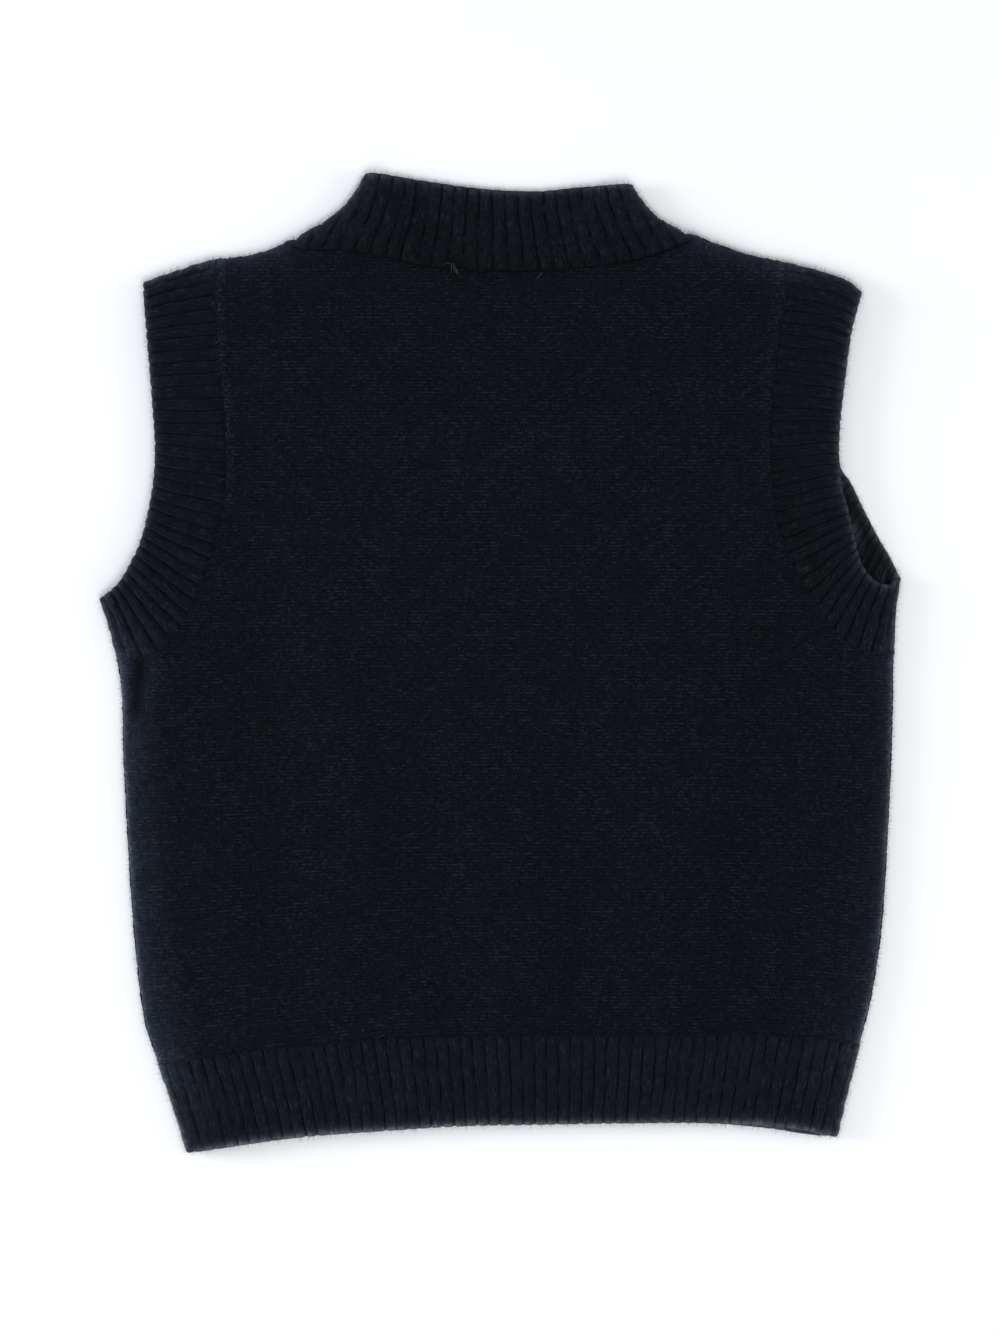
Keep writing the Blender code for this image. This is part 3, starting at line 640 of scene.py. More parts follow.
def linked(name, data):
    """A new object in the scene."""
    made = bpy.data.objects.new(name, data)
    bpy.context.scene.collection.objects.link(made)
    return made


def placed(name, mesh, finish):
    """A piece in the scene with one finish."""
    mesh.name = name
    mesh.materials.clear()
    mesh.materials.append(finish)
    return linked(name, mesh)


def as_grid(function, places, *extra):
    """Calls a function of a list of places on a grid of them."""
    shape = places.shape[:2]
    flat = [np.broadcast_to(value, shape).ravel() for value in extra]
    return function(places.reshape(-1, 2), *flat).reshape(*shape, 3)


# ---------------------------------------------------------------- ribbed bands

RIB_STEPS = (0.0, 0.12, 0.24, 0.32, 0.38, 0.43, 0.47, 0.5, 0.53, 0.57, 0.62, 0.68, 0.76, 0.88)
FOLD_STEPS = (0.04, 0.96)
FOLD_NAP = 2.0 * MM         # how far from a fold or a free edge the nap stands out
NEAR_SEAM = np.array([0.0, 0.3, 0.7, 1.2, 1.8, 2.6, 3.6]) * MM
NEAR_EDGE = np.array([3.6, 2.4, 1.5, 0.8]) * MM
BAND_STEP = 2.0 * MM
TUCK_REACH = 1.3 * MM       # how far out from its seam a band dips
EDGE_TURNS = (78, 56, 34, 12, -12, -34, -56, -78)
INNER_SHARES = (1.0, 0.97, 0.9, 0.72, 0.5, 0.25, 0.08, 0.0)
RIB_HALF = 0.36             # half the share of a pitch that a rib's two knit wales take
INSIDE_LIGHT = 0.1          # painted light on the inside of a band, how much lighter it looks
DIP_AT_FOLD = 0.2           # share of a band's dip at its seam that is left at a fold
GROOVE_AT_SEAM = 0.35       # share of a groove's depth that is left at the seam
GROOVE_WHOLE = 1.6 * MM     # how far out from the seam a groove is whole


def band_curves(name):
    """Curves of a ring band: (seam, edge) of its back and its front, and its two folds."""
    folds = {"neck": ("left neck", "right neck"), "hem": ("left hem", "right hem")}
    first, last = folds.get(name, (f"{name} top", f"{name} low"))
    halves = [(SEAM[f"{name} {layer}"], EDGE[f"{name} {layer}"]) for layer in LAYERS]
    return halves, FOLD[first], FOLD[last]


def band_places(name, rib, out):
    """Places of a ring band, by rib round the ring and share out from the seam, and its layer."""
    halves, first, last = band_curves(name)
    back, front, over_first, over_last, ahead = RIBS[name]
    early = 4.0 * ahead * out * (1.0 - out)
    start = over_first * out + early
    turn = back - over_last * out - early
    rib = np.where(rib < start, rib + back + front, rib)
    in_front = rib > turn
    share = np.where(in_front, 1.0 - (rib - turn) / (back + front + start - turn),
                     (rib - start) / (turn - start))
    share = np.clip(share, 0.0, 1.0)
    if name in SLANTS:
        slant = np.where(in_front, 0.0, np.interp(share, *SLANTS[name]))
        share = share + slant * (out - 0.5)
    places = [patch(*half, first, last, share, out) for half in halves]
    return np.where(in_front[..., None], places[1], places[0]), in_front


def wall_rows(width, outer, inner, draw_in):
    """The rows round a band's wall, from the seam over the outside, the free edge and back.

    Shares out from the seam, heights above the inner face, and shares of the dip at the seam.
    """
    half = (outer - inner) / 2
    end = width - half - draw_in
    even = np.linspace(NEAR_SEAM[-1], width - NEAR_EDGE[0],
                       int((width - NEAR_SEAM[-1] - NEAR_EDGE[0]) / BAND_STEP) + 1)
    rows = np.concatenate([NEAR_SEAM, even[1:-1], width - NEAR_EDGE, [width]]) / width
    angles = np.radians(EDGE_TURNS)
    inside = np.array(INNER_SHARES)
    out = np.concatenate([rows * end, end + half * np.cos(angles), inside * end])
    height = np.concatenate([np.full(len(rows), outer),
                             (outer + inner) / 2 + half * np.sin(angles),
                             np.full(len(inside), inner)])
    dip = np.zeros(len(height))
    dip[:len(rows)] = bell(rows * width, TUCK_REACH)
    return out / width, height, dip


def rib_places(name):
    """Columns round a ring band, in ribs, close together in the grooves and at the folds."""
    back, front = RIBS[name][:2]
    columns = []
    for rib in range(back + front):
        steps = set(RIB_STEPS)
        if rib in (0, back - 1, back, back + front - 1):
            steps |= set(FOLD_STEPS)
        columns += [rib + step for step in sorted(steps)]
    return np.array(columns)


def from_band_seam(name, places):
    """Distance from each place to a band's own seam."""
    return distance_to(places, *(half[0] for half in band_curves(name)[0]))


def band_shade(name, places):
    """Painted shade of a band near its seam, as millimetres of swell."""
    seam = from_band_seam(name, places)
    if name in SEAM_SHADOWS:
        strength, reach = SEAM_SHADOWS[name]
        return strength * np.exp(-seam / reach)
    share = np.interp(places[:, 1] / MM, *ARM_SHADOW_SHARES)
    return ARM_SHADOW * share * bell(seam, ARM_SHADOW_REACH)


def band_flecks(name, places):
    """Painted highlight flecks on an armband: near its underarm, and high up beside its seam."""
    if name not in SLANTS:
        return np.zeros(len(places))
    seam = from_band_seam(name, places)
    low = UNDERARM_FLECKS * (1.0 - ease(places[:, 1], *UNDERARM))
    low *= np.maximum(1.0 + ripples(places, "underarm flecks"), 0.0)
    return low + seam_flecks(places, seam / BAND_FLECK_REACH, ease(places[:, 1], *BAND_FLECKS))


def ribbed_band(name, finish):
    """A band closed to a ring, at the crests of its ribs, with the way down to the grooves."""
    band = BANDS[name]
    ribs = rib_places(name)
    width = np.mean([run(path[:, :2])[-1] for path in band_curves(name)[1:]])
    forms = []
    for outer, inner, draw_in in ((RIB_CREST, RIB_HOLLOW, 0.0),
                                  (RIB_FLOOR, 0.0, band["notch"] * MM)):
        out, height, dip = wall_rows(width, outer, inner, draw_in)
        rib, out_grid = np.meshgrid(ribs, out, indexing="ij")
        places, in_front = band_places(name, rib, out_grid)
        folds = distance_to(places.reshape(-1, 2), *band_curves(name)[1:])
        folds = folds.reshape(places.shape[:2])
        dip = dip * at_least(DIP_AT_FOLD, ease(folds, 0.0, SEAM_FADE))
        forms.append(as_grid(lie, places, height - band["dip"] * MM * dip, in_front))
    crest, groove = forms
    total = sum(RIBS[name][:2])
    column, row = grid_quads(len(ribs), len(out), True, True)
    quads = (column % len(ribs)) * len(out) + row % len(out)
    step = np.linalg.norm(np.diff(crest, axis=1), axis=2).mean(axis=0)
    travel = np.concatenate([[0.0], np.cumsum(step), [step.sum() + RIB_CREST]])
    turns = np.append(ribs, total)
    knit = np.interp(turns - np.round(turns), [-0.5, -RIB_HALF, RIB_HALF, 0.5], [-2, -1, 1, 2])
    wales = (np.round(turns) * WALES_PER_RIB + knit) * WALE
    flat = np.stack([wales[column], travel[row]], -1)
    deep = at_least(GROOVE_AT_SEAM, ease(out * width, 0.0, GROOVE_WHOLE))[None, :, None]
    near = bell(folds, FOLD_NAP) + ease(out * width, width - FOLD_NAP, width)
    outside = ease(height, 0.0, RIB_FLOOR)
    flat_places = places.reshape(-1, 2)
    # Painted sheen on the band's outside, with its own lightness; painted rim highlight, and painted
    # light on its inside.
    through, rim = (part.reshape(places.shape[:2]) for part in glow(flat_places))
    shine = (through + band["lighter"]) * outside
    attributes = {
        "glow": shine.ravel(),
        "rim": (rim + INSIDE_LIGHT * (1.0 - outside)).ravel(),
        "swell": band_shade(name, flat_places),
        "fleck": band_flecks(name, flat_places) * np.tile(outside, len(ribs)),
        "rib": np.repeat(ribs, len(out)),
        "way_down": ((groove - crest) * deep * band["depth"]).reshape(-1, 3),
        "nap": np.minimum(near, 1.0).ravel(),
    }
    plain = cloth_mesh(band["piece"], crest.reshape(-1, 3), quads, flat, attributes)
    return grown(plain, RIB_RELIEF, band["piece"], finish, Groove=band["groove"],
                 Least=band["least"], Wander=band["wander"], Seed=float(band["seed"]))


# ---------------------------------------------------------------- body panels

UNDERARM_SHARE = 0.47
NECK_SHARES = (0.125, 0.85)
RIM_STEPS = np.array([0.0, 0.25, 0.6, 1.0, 1.5, 2.1, 2.8, 3.8, 5.0, 6.5, 8.5]) * MM
PANEL_STEPS = {"back": 2.6 * MM, "front": 3.6 * MM}
PANEL_WIDTH = 330 * MM
PANEL_LENGTH = 350 * MM
SEAM_RIDGE = 0.4 * MM       # height of the raised line beside an armhole seam
RIDGE_PLACE = 2.0 * MM
RIDGE_WIDTH = 2.0 * MM
SEAM_TUCK = 0.25 * MM       # how far a panel dips at an armhole seam
SEAM_SHOWS = (58 * MM, 84 * MM)     # an armhole seam fades down between these heights
HEM_BEND = 90 * MM          # how far up the courses still follow the hem's curve
ABOVE_HEM = 0.5             # added to the flat height in metres, so that no course is below 0
NO_NAP = -1.0               # nap of an inner face, where not even the nap of the whole piece grows
TUCK_WIDTH = 0.8 * MM
TUCK_SHARES = (0.3, 0.5)    # of its depth: where the seam is faint, and what it gains where whole
RELIEF_AT_FOLD = 0.15       # share of a seam's relief that is left at a fold
ARMHOLE_NAP = 0.6           # how thick the nap stands beside an armhole seam
NECK_DIP = 0.5 * MM
NECK_DIP_WIDTH = 1.5 * MM
HEM_DIP = 0.2 * MM


def panel_shares(length, step, breaks):
    """Shares over a panel: close together at its two rims, even between."""
    near = RIM_STEPS / length
    even = np.linspace(near[-1], 1.0 - near[-1], int(length / step) + 1)[1:-1]
    return np.unique(np.concatenate([near, even, 1.0 - near, breaks]))


def seam_shows(places):
    """How clearly an armhole seam shows at each place: whole at the shoulder, faint below."""
    return ease(places[:, 1], *SEAM_SHOWS)


def panel_heights(places, layer):
    """Height of a panel's outer face above its inner one, with its seams' ridges and dips."""
    arm = from_armholes(places, layer)
    neck, hem = (distance_to(places, SEAM[f"{part} {layer}"]) for part in ("neck", "hem"))
    shows = seam_shows(places)
    form = SEAM_RIDGE * shows * bell(arm - RIDGE_PLACE, RIDGE_WIDTH)
    tuck = SEAM_TUCK * (TUCK_SHARES[0] + TUCK_SHARES[1] * shows) * bell(arm, TUCK_WIDTH)
    form -= tuck * np.clip(1.0 + ripples(places, "seam tuck"), 0.0, 2.0)
    form -= NECK_DIP * bell(neck, NECK_DIP_WIDTH)
    form -= HEM_DIP * bell(hem, NECK_DIP_WIDTH)
    return JERSEY + form * at_least(RELIEF_AT_FOLD, ease(from_folds(places), 0.0, SEAM_FADE))


def course_level(places, layer):
    """How far up the knit each place lies: along the hem's curve below, level above."""
    hem = SEAM[f"hem {layer}"]
    start = np.interp(places[..., 0], hem[:, 0], hem[:, 1])
    low = hem[:, 1].max()
    return places[..., 1] - low - (start - low) * np.exp(-(places[..., 1] - start) / HEM_BEND)


def travel_over(points, axis, origin):
    """Distance over the cloth along x or y from one column or row of a grid of points."""
    step = np.diff(points, axis=axis)
    step = np.hypot(step[..., axis], step[..., 2])
    pad = [(0, 0), (0, 0)]
    pad[axis] = (1, 0)
    travel = np.cumsum(np.pad(step, pad), axis=axis)
    return travel - np.take(travel, [origin], axis=axis)


def beside_armholes(places, layer):
    """1 on the rolled edge beside an armhole seam, where that shows, and 0 away from it."""
    ridge = bell(from_armholes(places, layer) - RIDGE_PLACE, RIDGE_WIDTH)
    return ridge * seam_shows(places) * (1.0 + ripples(places, "seam ridge"))


def seam_flecks(places, distance, share):
    """How thick the painted highlight flecks lie beside an armhole seam, by distance in reaches."""
    uneven = np.maximum(1.0 + ripples(places, "seam flecks"), 0.0)
    return by_side(places, SEAM_FLECKS) * seam_shows(places) * uneven * share * bell(distance, 1.0)


def panel_flecks(places, layer):
    """Painted highlight flecks on a panel."""
    return seam_flecks(places, (from_armholes(places, layer) - FLECK_PLACE) / FLECK_REACH, 1.0)


def panel_nap(places, layer):
    """Where a panel's nap stands out: 1 at its folds, and less beside its armhole seams."""
    near = bell(from_folds(places), FOLD_NAP) + ARMHOLE_NAP * beside_armholes(places, layer)
    return np.clip(near, 0.0, 1.0)


def panel_shade(places, layer):
    """Painted shade and light of a panel at each place, as millimetres of swell: darker in troughs
    and by seams, lighter on swells and rolled seam edges.
    """
    shade = relief(places, (*CREASES, *SHADES)) / MM
    shade += by_side(places, SEAM_LIGHT) * beside_armholes(places, layer)
    for name, (dark, reach) in SEAM_SHADOWS.items():
        shade += dark * np.exp(-distance_to(places, SEAM[f"{name} {layer}"]) / reach)
    return shade


def body_panel(layer, finish):
    """The back or front body panel: plain knit between its seams and folds."""
    left, right = (joined([FOLD[f"{side} side"], turned(SEAM[f"{side} arm {layer}"])],
                          (0.0, UNDERARM_SHARE, 1.0)) for side in SIDES)
    high = joined([FOLD["left shoulder"], SEAM[f"neck {layer}"], turned(FOLD["right shoulder"])],
                  (0.0, *NECK_SHARES, 1.0))
    across = panel_shares(PANEL_WIDTH, PANEL_STEPS[layer], NECK_SHARES)
    up = panel_shares(PANEL_LENGTH, PANEL_STEPS[layer], [UNDERARM_SHARE])
    u, v = np.meshgrid(across, up, indexing="ij")
    places = patch(SEAM[f"hem {layer}"], high, left, right, u, v)
    spots = places.reshape(-1, 2)
    heights = panel_heights(spots, layer).reshape(u.shape)
    outer, inner = (as_grid(lie, places, form, layer == "front") for form in (heights, 0.0))
    middle = int(np.argmin(abs(across - 0.5)))
    flat = np.stack([travel_over(outer, 0, middle) + WALE / 2,
                     course_level(places, layer) + ABOVE_HEM], -1)
    columns, rows = u.shape
    column, row = grid_quads(columns, rows, False, False)
    face = column * rows + row
    edge = rim_of(columns, rows)
    beyond = np.roll(edge, -1)
    wall = np.stack([edge, beyond, beyond + columns * rows, edge + columns * rows], -1)
    quads = np.vstack([face, face[:, ::-1] + columns * rows, wall[:, ::-1]])
    flat = np.tile(flat.reshape(-1, 2), (2, 1))[quads]
    points = np.vstack([outer.reshape(-1, 3), inner.reshape(-1, 3)])
    # Painted sheen and rim highlight, painted shade and light, and painted highlight flecks of the
    # panel's outside.
    through, rim = glow(spots)
    outside = {"nap": panel_nap(spots, layer), "glow": through, "rim": rim,
               "swell": panel_shade(spots, layer), "fleck": panel_flecks(spots, layer)}
    attributes = {key: np.append(values, np.full(len(spots), NO_NAP if key == "nap" else 0.0))
                  for key, values in outside.items()}
    name = f"{layer}_knit"
    return placed(name, cloth_mesh(name, points, quads, flat, attributes), finish)


def rim_of(columns, rows):
    """Point indices once round a grid's boundary."""
    index = np.arange(columns * rows).reshape(columns, rows)
    return np.concatenate([index[:-1, 0], index[-1, :-1], index[:0:-1, -1], index[0, :0:-1]])


# ---------------------------------------------------------------- node helpers

LOWEST = 0.03 * MM          # nothing that is grown goes lower
GEOMETRY = "NodeSocketGeometry"
NUMBER = "NodeSocketFloat"
WHOLE = "NodeSocketInt"
VECTOR = "NodeSocketVector"
MATERIAL = "NodeSocketMaterial"
MATHS = "ShaderNodeMath"
VECTOR_MATHS = "ShaderNodeVectorMath"


class Wire:
    """A value in a node tree. Plain arithmetic on it adds maths nodes."""

    def __init__(self, tree, socket):
        self.tree = tree
        self.socket = socket

    def __add__(self, other):
        return calc("ADD", self, other)

    def __sub__(self, other):
        return calc("SUBTRACT", self, other)

    def __rsub__(self, other):
        return calc("SUBTRACT", other, self)

    def __mul__(self, other):
        return calc("MULTIPLY", self, other)

    def __truediv__(self, other):
        return calc("DIVIDE", self, other)

    def __pow__(self, other):
        return calc("POWER", self, other)

    def __abs__(self):
        return calc("ABSOLUTE", self)

    def __floor__(self):
        return calc("FLOOR", self)

    __radd__ = __add__
    __rmul__ = __mul__


def calc(operation, *values, kind=MATHS):
    """Adds a maths node for some values, one or more of them wires, and returns its result."""
    tree = next(value.tree for value in values if isinstance(value, Wire))
    made = tree.nodes.new(kind)
    made.operation = operation
    for socket, value in zip(made.inputs, values):
        give(tree, socket, value)
    return Wire(tree, made.outputs[0])


def give(tree, target, value):
    """Links a wire to a node's socket, or sets the socket to a plain value."""
    if isinstance(value, Wire):
        tree.links.new(value.socket, target)
    else:
        target.default_value = value


def feed(tree, made, **inputs):
    """Gives a node's inputs by name: a wire is linked, and any other value is set."""
    for name, value in inputs.items():
        wanted = name.replace("_", " ").lower()
        give(tree, next(s for s in made.inputs if s.enabled and s.name.lower() == wanted), value)


def add(tree, kind, settings=None, **inputs):
    """Adds a node with its settings and inputs, and returns its first output in use."""
    made = tree.nodes.new(kind)
    for name, value in (settings or {}).items():
        setattr(made, name, value)
    feed(tree, made, **inputs)
    return Wire(tree, next(socket for socket in made.outputs if socket.enabled))


def output(wire, name):
    """Another output of the node that a wire comes from."""
    return Wire(wire.tree, wire.socket.node.outputs[name])


def soft_step(value, low, high, first=0.0, last=1.0):
    """Adds a soft step from one value to another, and returns it."""
    return add(value.tree, "ShaderNodeMapRange", {"interpolation_type": "SMOOTHSTEP"},
               Value=value, From_Min=low, From_Max=high, To_Min=first, To_Max=last)


def new_tree(name, kind, inputs, outputs):
    """A node tree with named inputs and outputs: the tree, its input wires, its end node."""
    tree = bpy.data.node_groups.new(name, kind)
    for way, sockets in (("INPUT", inputs), ("OUTPUT", outputs)):
        for label, socket, *default in sockets:
            made = tree.interface.new_socket(name=label, in_out=way, socket_type=socket)
            if default:
                made.default_value = default[0]
    start, end = tree.nodes.new("NodeGroupInput"), tree.nodes.new("NodeGroupOutput")
    return tree, {socket.name: Wire(tree, socket) for socket in start.outputs}, end


def growing_tree(name, *sizes):
    """A tree of geometry nodes that takes a mesh, some sizes and a finish, and gives a mesh."""
    return new_tree(name, "GeometryNodeTree",
                    [("Geometry", GEOMETRY), *sizes, ("Finish", MATERIAL)],
                    [("Geometry", GEOMETRY)])


def chance(low, high, seed):
    """Adds a random number for each point or instance, and returns it."""
    return add(seed.tree, "FunctionNodeRandomValue", {"data_type": "FLOAT"}, Min=low, Max=high,
               Seed=seed)


def attribute(tree, name, kind="FLOAT"):
    """Adds the reading of a mesh's named values, and returns them."""
    return add(tree, "GeometryNodeInputNamedAttribute", {"data_type": kind}, Name=name)


def scaled(vector, share):
    """Adds a vector or colour times a wire's share, and returns it."""
    return add(share.tree, VECTOR_MATHS, {"operation": "SCALE"}, Vector=vector, Scale=share)


def turned_by(rotation, **angles):
    """Turns a rotation by angles about its own axes, and returns it."""
    turn = add(rotation.tree, "ShaderNodeCombineXYZ", **angles)
    turn = add(rotation.tree, "FunctionNodeEulerToRotation", Euler=turn)
    return add(rotation.tree, "FunctionNodeRotateRotation", {"rotation_space": "LOCAL"},
               Rotation=rotation, Rotate_By=turn)


def tube(line, sides, radius, **more):
    """Adds a tube along a curve, and returns it."""
    profile = add(line.tree, "GeometryNodeCurvePrimitiveCircle", Resolution=sides,
                  Radius=radius)
    return add(line.tree, "GeometryNodeCurveToMesh", Curve=line, Profile_Curve=profile,
               **more)


def finish_tree(tree, end, geometry, finish):
    """Ends a tree: instances made real, over the floor, smooth and with their finish."""
    real = add(tree, "GeometryNodeRealizeInstances", Geometry=geometry)
    over = calc("MAXIMUM", add(tree, "GeometryNodeInputPosition"), (-1.0, -1.0, LOWEST),
                kind=VECTOR_MATHS)
    kept = add(tree, "GeometryNodeSetPosition", Geometry=real, Position=over)
    smooth = add(tree, "GeometryNodeSetShadeSmooth", Geometry=kept)
    feed(tree, end, Geometry=add(tree, "GeometryNodeSetMaterial", Geometry=smooth,
                                 Material=finish))
    return tree


def grown(mesh, tree, name, finish, **values):
    """The plain piece that a node tree makes of a mesh."""
    host = linked(name, mesh)
    modifier = host.modifiers.new("growth", "NODES")
    modifier.node_group = tree
    values["Finish"] = finish
    for item in tree.interface.items_tree:
        if item.in_out == "INPUT" and item.name in values:
            modifier[item.identifier] = values[item.name]
    graph = bpy.context.evaluated_depsgraph_get()
    made = bpy.data.meshes.new_from_object(host.evaluated_get(graph), depsgraph=graph)
    bpy.data.objects.remove(host)
    return placed(name, made, finish)


# ---------------------------------------------------------------- ribs

RIBS_AHEAD = 100.0          # whole ribs added to a count, so that it is never below 0
DOME = (0.08, 0.5)          # how a rib is domed, by its distance from a groove in ribs
SHALLOW_PATCHES = (0.32, 0.66)      # levels of the noise that makes grooves shallow in places
MOST_DEPTH = 1.1            # a groove's depth where it is deepest


def wander_noise(place, seed, **sizes):
    """Adds noise that moves with a seed, and returns it."""
    return add(place.tree, "ShaderNodeTexNoise", {"noise_dimensions": "4D"}, Vector=place,
               W=seed, **sizes)


def rib_relief_tree():
    """Lowers a band between its ribs: grooves where the ribs' count is half way between two."""
    tree, given, end = growing_tree(
        "rib relief", ("Groove", NUMBER, 0.2), ("Floor", NUMBER, 0.035), ("Doming", NUMBER, 0.25),
        ("Least", NUMBER, 0.4), ("Wander", NUMBER, 0.35), ("Seed", NUMBER, 3.0))
    place = add(tree, "GeometryNodeInputPosition")
    stray = wander_noise(place, given["Seed"], Scale=110.0, Detail=3.0, Roughness=0.65)
    count = attribute(tree, "rib") + (stray - 0.5) * given["Wander"]
    from_groove = abs(calc("FRACT", count + RIBS_AHEAD) - 0.5)
    groove = soft_step(from_groove, given["Floor"], given["Groove"], 1.0, 0.0)
    dome = soft_step(from_groove, *DOME, 1.0, 0.0)
    depth = blend(groove, dome, given["Doming"])
    patches = wander_noise(place, given["Seed"] + 7.0, Scale=170.0, Detail=2.0)
    uneven = soft_step(patches, *SHALLOW_PATCHES, given["Least"], MOST_DEPTH)
    moved = add(tree, "GeometryNodeSetPosition", Geometry=given["Geometry"],
                Offset=scaled(attribute(tree, "way_down", "FLOAT_VECTOR"), depth * uneven))
    kept = add(tree, "GeometryNodeStoreNamedAttribute", {"data_type": "FLOAT", "domain": "POINT"},
               Geometry=moved, Name="groove", Value=groove * uneven)
    return finish_tree(tree, end, kept, given["Finish"])


# ---------------------------------------------------------------- loose fibres

# A fibre of length 1: the point that it bends towards, its end, and how thick that is.
FIBRE_BEND = (0.0, 0.12, 0.55)
FIBRE_END = (0.0, 0.5, 0.9)
FIBRE_TAPER = 0.35
FULL_TURN = 6.283           # in radians


def nap_tree():
    """Loose fibres on a piece: thin, bent and tapered, denser where its nap stands out."""
    tree, given, end = growing_tree(
        "nap", ("Density", NUMBER, 3e4), ("Edge Density", NUMBER, 2e6),
        ("Length", NUMBER, 1.7 * MM), ("Thickness", NUMBER, 0.018), ("Lean", NUMBER, 1.15),
        ("Seed", WHOLE, 1))
    seed = given["Seed"]
    dense = calc("MULTIPLY_ADD", attribute(tree, "nap"), given["Edge Density"], given["Density"])
    roots = add(tree, "GeometryNodeDistributePointsOnFaces", {"distribute_method": "RANDOM"},
                Mesh=given["Geometry"], Density=calc("MAXIMUM", dense, 0.0), Seed=seed)
    line = add(tree, "GeometryNodeCurveQuadraticBezier", Resolution=2,
               Start=(0.0, 0.0, 0.0), Middle=FIBRE_BEND, End=FIBRE_END)
    taper = soft_step(add(tree, "GeometryNodeSplineParameter"), 0.0, 1.0, 1.0, FIBRE_TAPER)
    fibre = tube(line, 3, given["Thickness"], Fill_Caps=True, Scale=taper)
    turn = turned_by(output(roots, "Rotation"), X=given["Lean"] * chance(0.2, 1.3, seed),
                     Z=chance(0.0, FULL_TURN, seed + 50.0))
    size = given["Length"] * chance(0.5, 1.5, seed + 90.0)
    fibres = add(tree, "GeometryNodeInstanceOnPoints", Points=roots, Instance=fibre,
                 Rotation=turn, Scale=size)
    return finish_tree(tree, end, fibres, given["Finish"])


def nap(piece, finish, density, edge_density, seed):
    """The loose fibres of a piece, as a piece of their own."""
    return grown(piece.data, NAP, f"{piece.name}_nap", finish, Density=density,
                 **{"Edge Density": edge_density}, Seed=seed)


# ---------------------------------------------------------------- stitches

LINK_PITCH = 2.3 * MM
LINK_PLACE = 1.4 * MM       # how far in from an armhole seam its chain runs
LINK_DEPTHS = (-0.16 * MM, -0.3 * MM)   # how far it sinks in, at the shoulder and the underarm
LINK_CLEAR = 2.0 * MM       # how far it stays from a fold
LINKS_SHOWN = (0.1, 0.7)    # share of its stitches: everywhere, and more where the seam shows
LINK_SINK = 0.2 * MM        # how much deeper than that a stitch may lie
LINK_STRAY = 0.12 * MM      # how far a stitch strays to a side
FOLD_LINK_DEPTH = 0.1 * MM
SLOPE_STEP = 0.2 * MM


def linking_tree():
    """Chain stitches on a row of points: at each an oval loop of yarn that tips over the next."""
    tree, given, end = growing_tree(
        "linking", ("Length", NUMBER, 2.9 * MM), ("Width", NUMBER, 1.3 * MM),
        ("Yarn", NUMBER, 0.24 * MM), ("Tip", NUMBER, -0.16), ("Seed", WHOLE, 1))
    seed = given["Seed"]
    ring = add(tree, "GeometryNodeCurvePrimitiveCircle", Resolution=10, Radius=0.5)
    oval = add(tree, "ShaderNodeCombineXYZ", X=given["Length"], Y=given["Width"], Z=1.0)
    yarn = tube(add(tree, "GeometryNodeTransform", Geometry=ring, Scale=oval), 5,
                given["Yarn"])
    aligned = add(tree, "FunctionNodeAxesToRotation",
                  {"primary_axis": "Z", "secondary_axis": "X"},
                  Primary_Axis=attribute(tree, "up", "FLOAT_VECTOR"),
                  Secondary_Axis=attribute(tree, "along", "FLOAT_VECTOR"))
    turn = turned_by(aligned, X=chance(-0.5, 0.5, seed), Y=given["Tip"],
                     Z=chance(-0.4, 0.4, seed + 40.0))
    chain = add(tree, "GeometryNodeInstanceOnPoints", Points=given["Geometry"],
                Instance=yarn, Rotation=turn, Scale=chance(0.7, 1.15, seed + 80.0))
    return finish_tree(tree, end, chain, given["Finish"])


def spaced(path, pitch):
    """Places at an even pitch along a curve, and the unit direction at each."""
    at = run(path[:, :2])
    count = max(int(round(at[-1] / pitch)), 2)
    shares = (np.arange(count) + 0.5) / count
    places = along(path, shares)
    ahead = along(path, shares + 0.25 / count) - along(path, shares - 0.25 / count)
    return places, ahead / np.linalg.norm(ahead, axis=1)[:, None]


def on_panel(places, layer, lift):
    """Points just over a panel's outer face."""
    return lie(places, panel_heights(places, layer) + lift, np.full(len(places), layer == "front"))


def panel_stitches(path, layer, seed):
    """Stitch points beside a seam, on the panel: place, way up and way along."""
    places, ahead = spaced(path, LINK_PITCH)
    lift = blend(*LINK_DEPTHS, np.linspace(0.0, 1.0, len(places)) ** 3)
    clear = from_folds(places) > LINK_CLEAR
    draw = np.random.default_rng(seed)
    clear &= draw.random(len(places)) < LINKS_SHOWN[0] + LINKS_SHOWN[1] * seam_shows(places)
    lift = lift - draw.uniform(0.0, LINK_SINK, len(places))
    aside = LINK_PLACE + draw.normal(0.0, LINK_STRAY, (len(places), 1))
    places, ahead, lift, aside = (part[clear] for part in (places, ahead, lift, aside))
    places = places + inward_of(ahead, places) * aside
    points = on_panel(places, layer, lift)
    right, far = (on_panel(places + step, layer, lift) - points
                  for step in ((SLOPE_STEP, 0.0), (0.0, SLOPE_STEP)))
    up = np.cross(right, far)
    up *= np.sign(up[:, 2:] * (-1.0 if layer == "front" else 1.0))
    return points, up, np.column_stack([ahead, np.zeros(len(ahead))])


def fold_stitches(path):
    """Stitch points on a fold, where the two panels are sewn together."""
    places, ahead = spaced(path, LINK_PITCH)
    outward = -inward_of(ahead, places)
    flat = np.zeros(len(places))
    return (np.column_stack([places - outward * FOLD_LINK_DEPTH, flat + FOLD_HEIGHT]),
            np.column_stack([outward, flat]), np.column_stack([ahead, flat]))


def stitches(name, rows, finish, **sizes):
    """A piece of chain stitches on rows of stitch points."""
    points, up, ahead = (np.vstack(part) for part in zip(*rows))
    mesh = bpy.data.meshes.new(name)
    mesh.from_pydata(points, [], [])
    set_attributes(mesh, {"up": up, "along": ahead})
    return grown(mesh, LINKING, name, finish, **sizes)


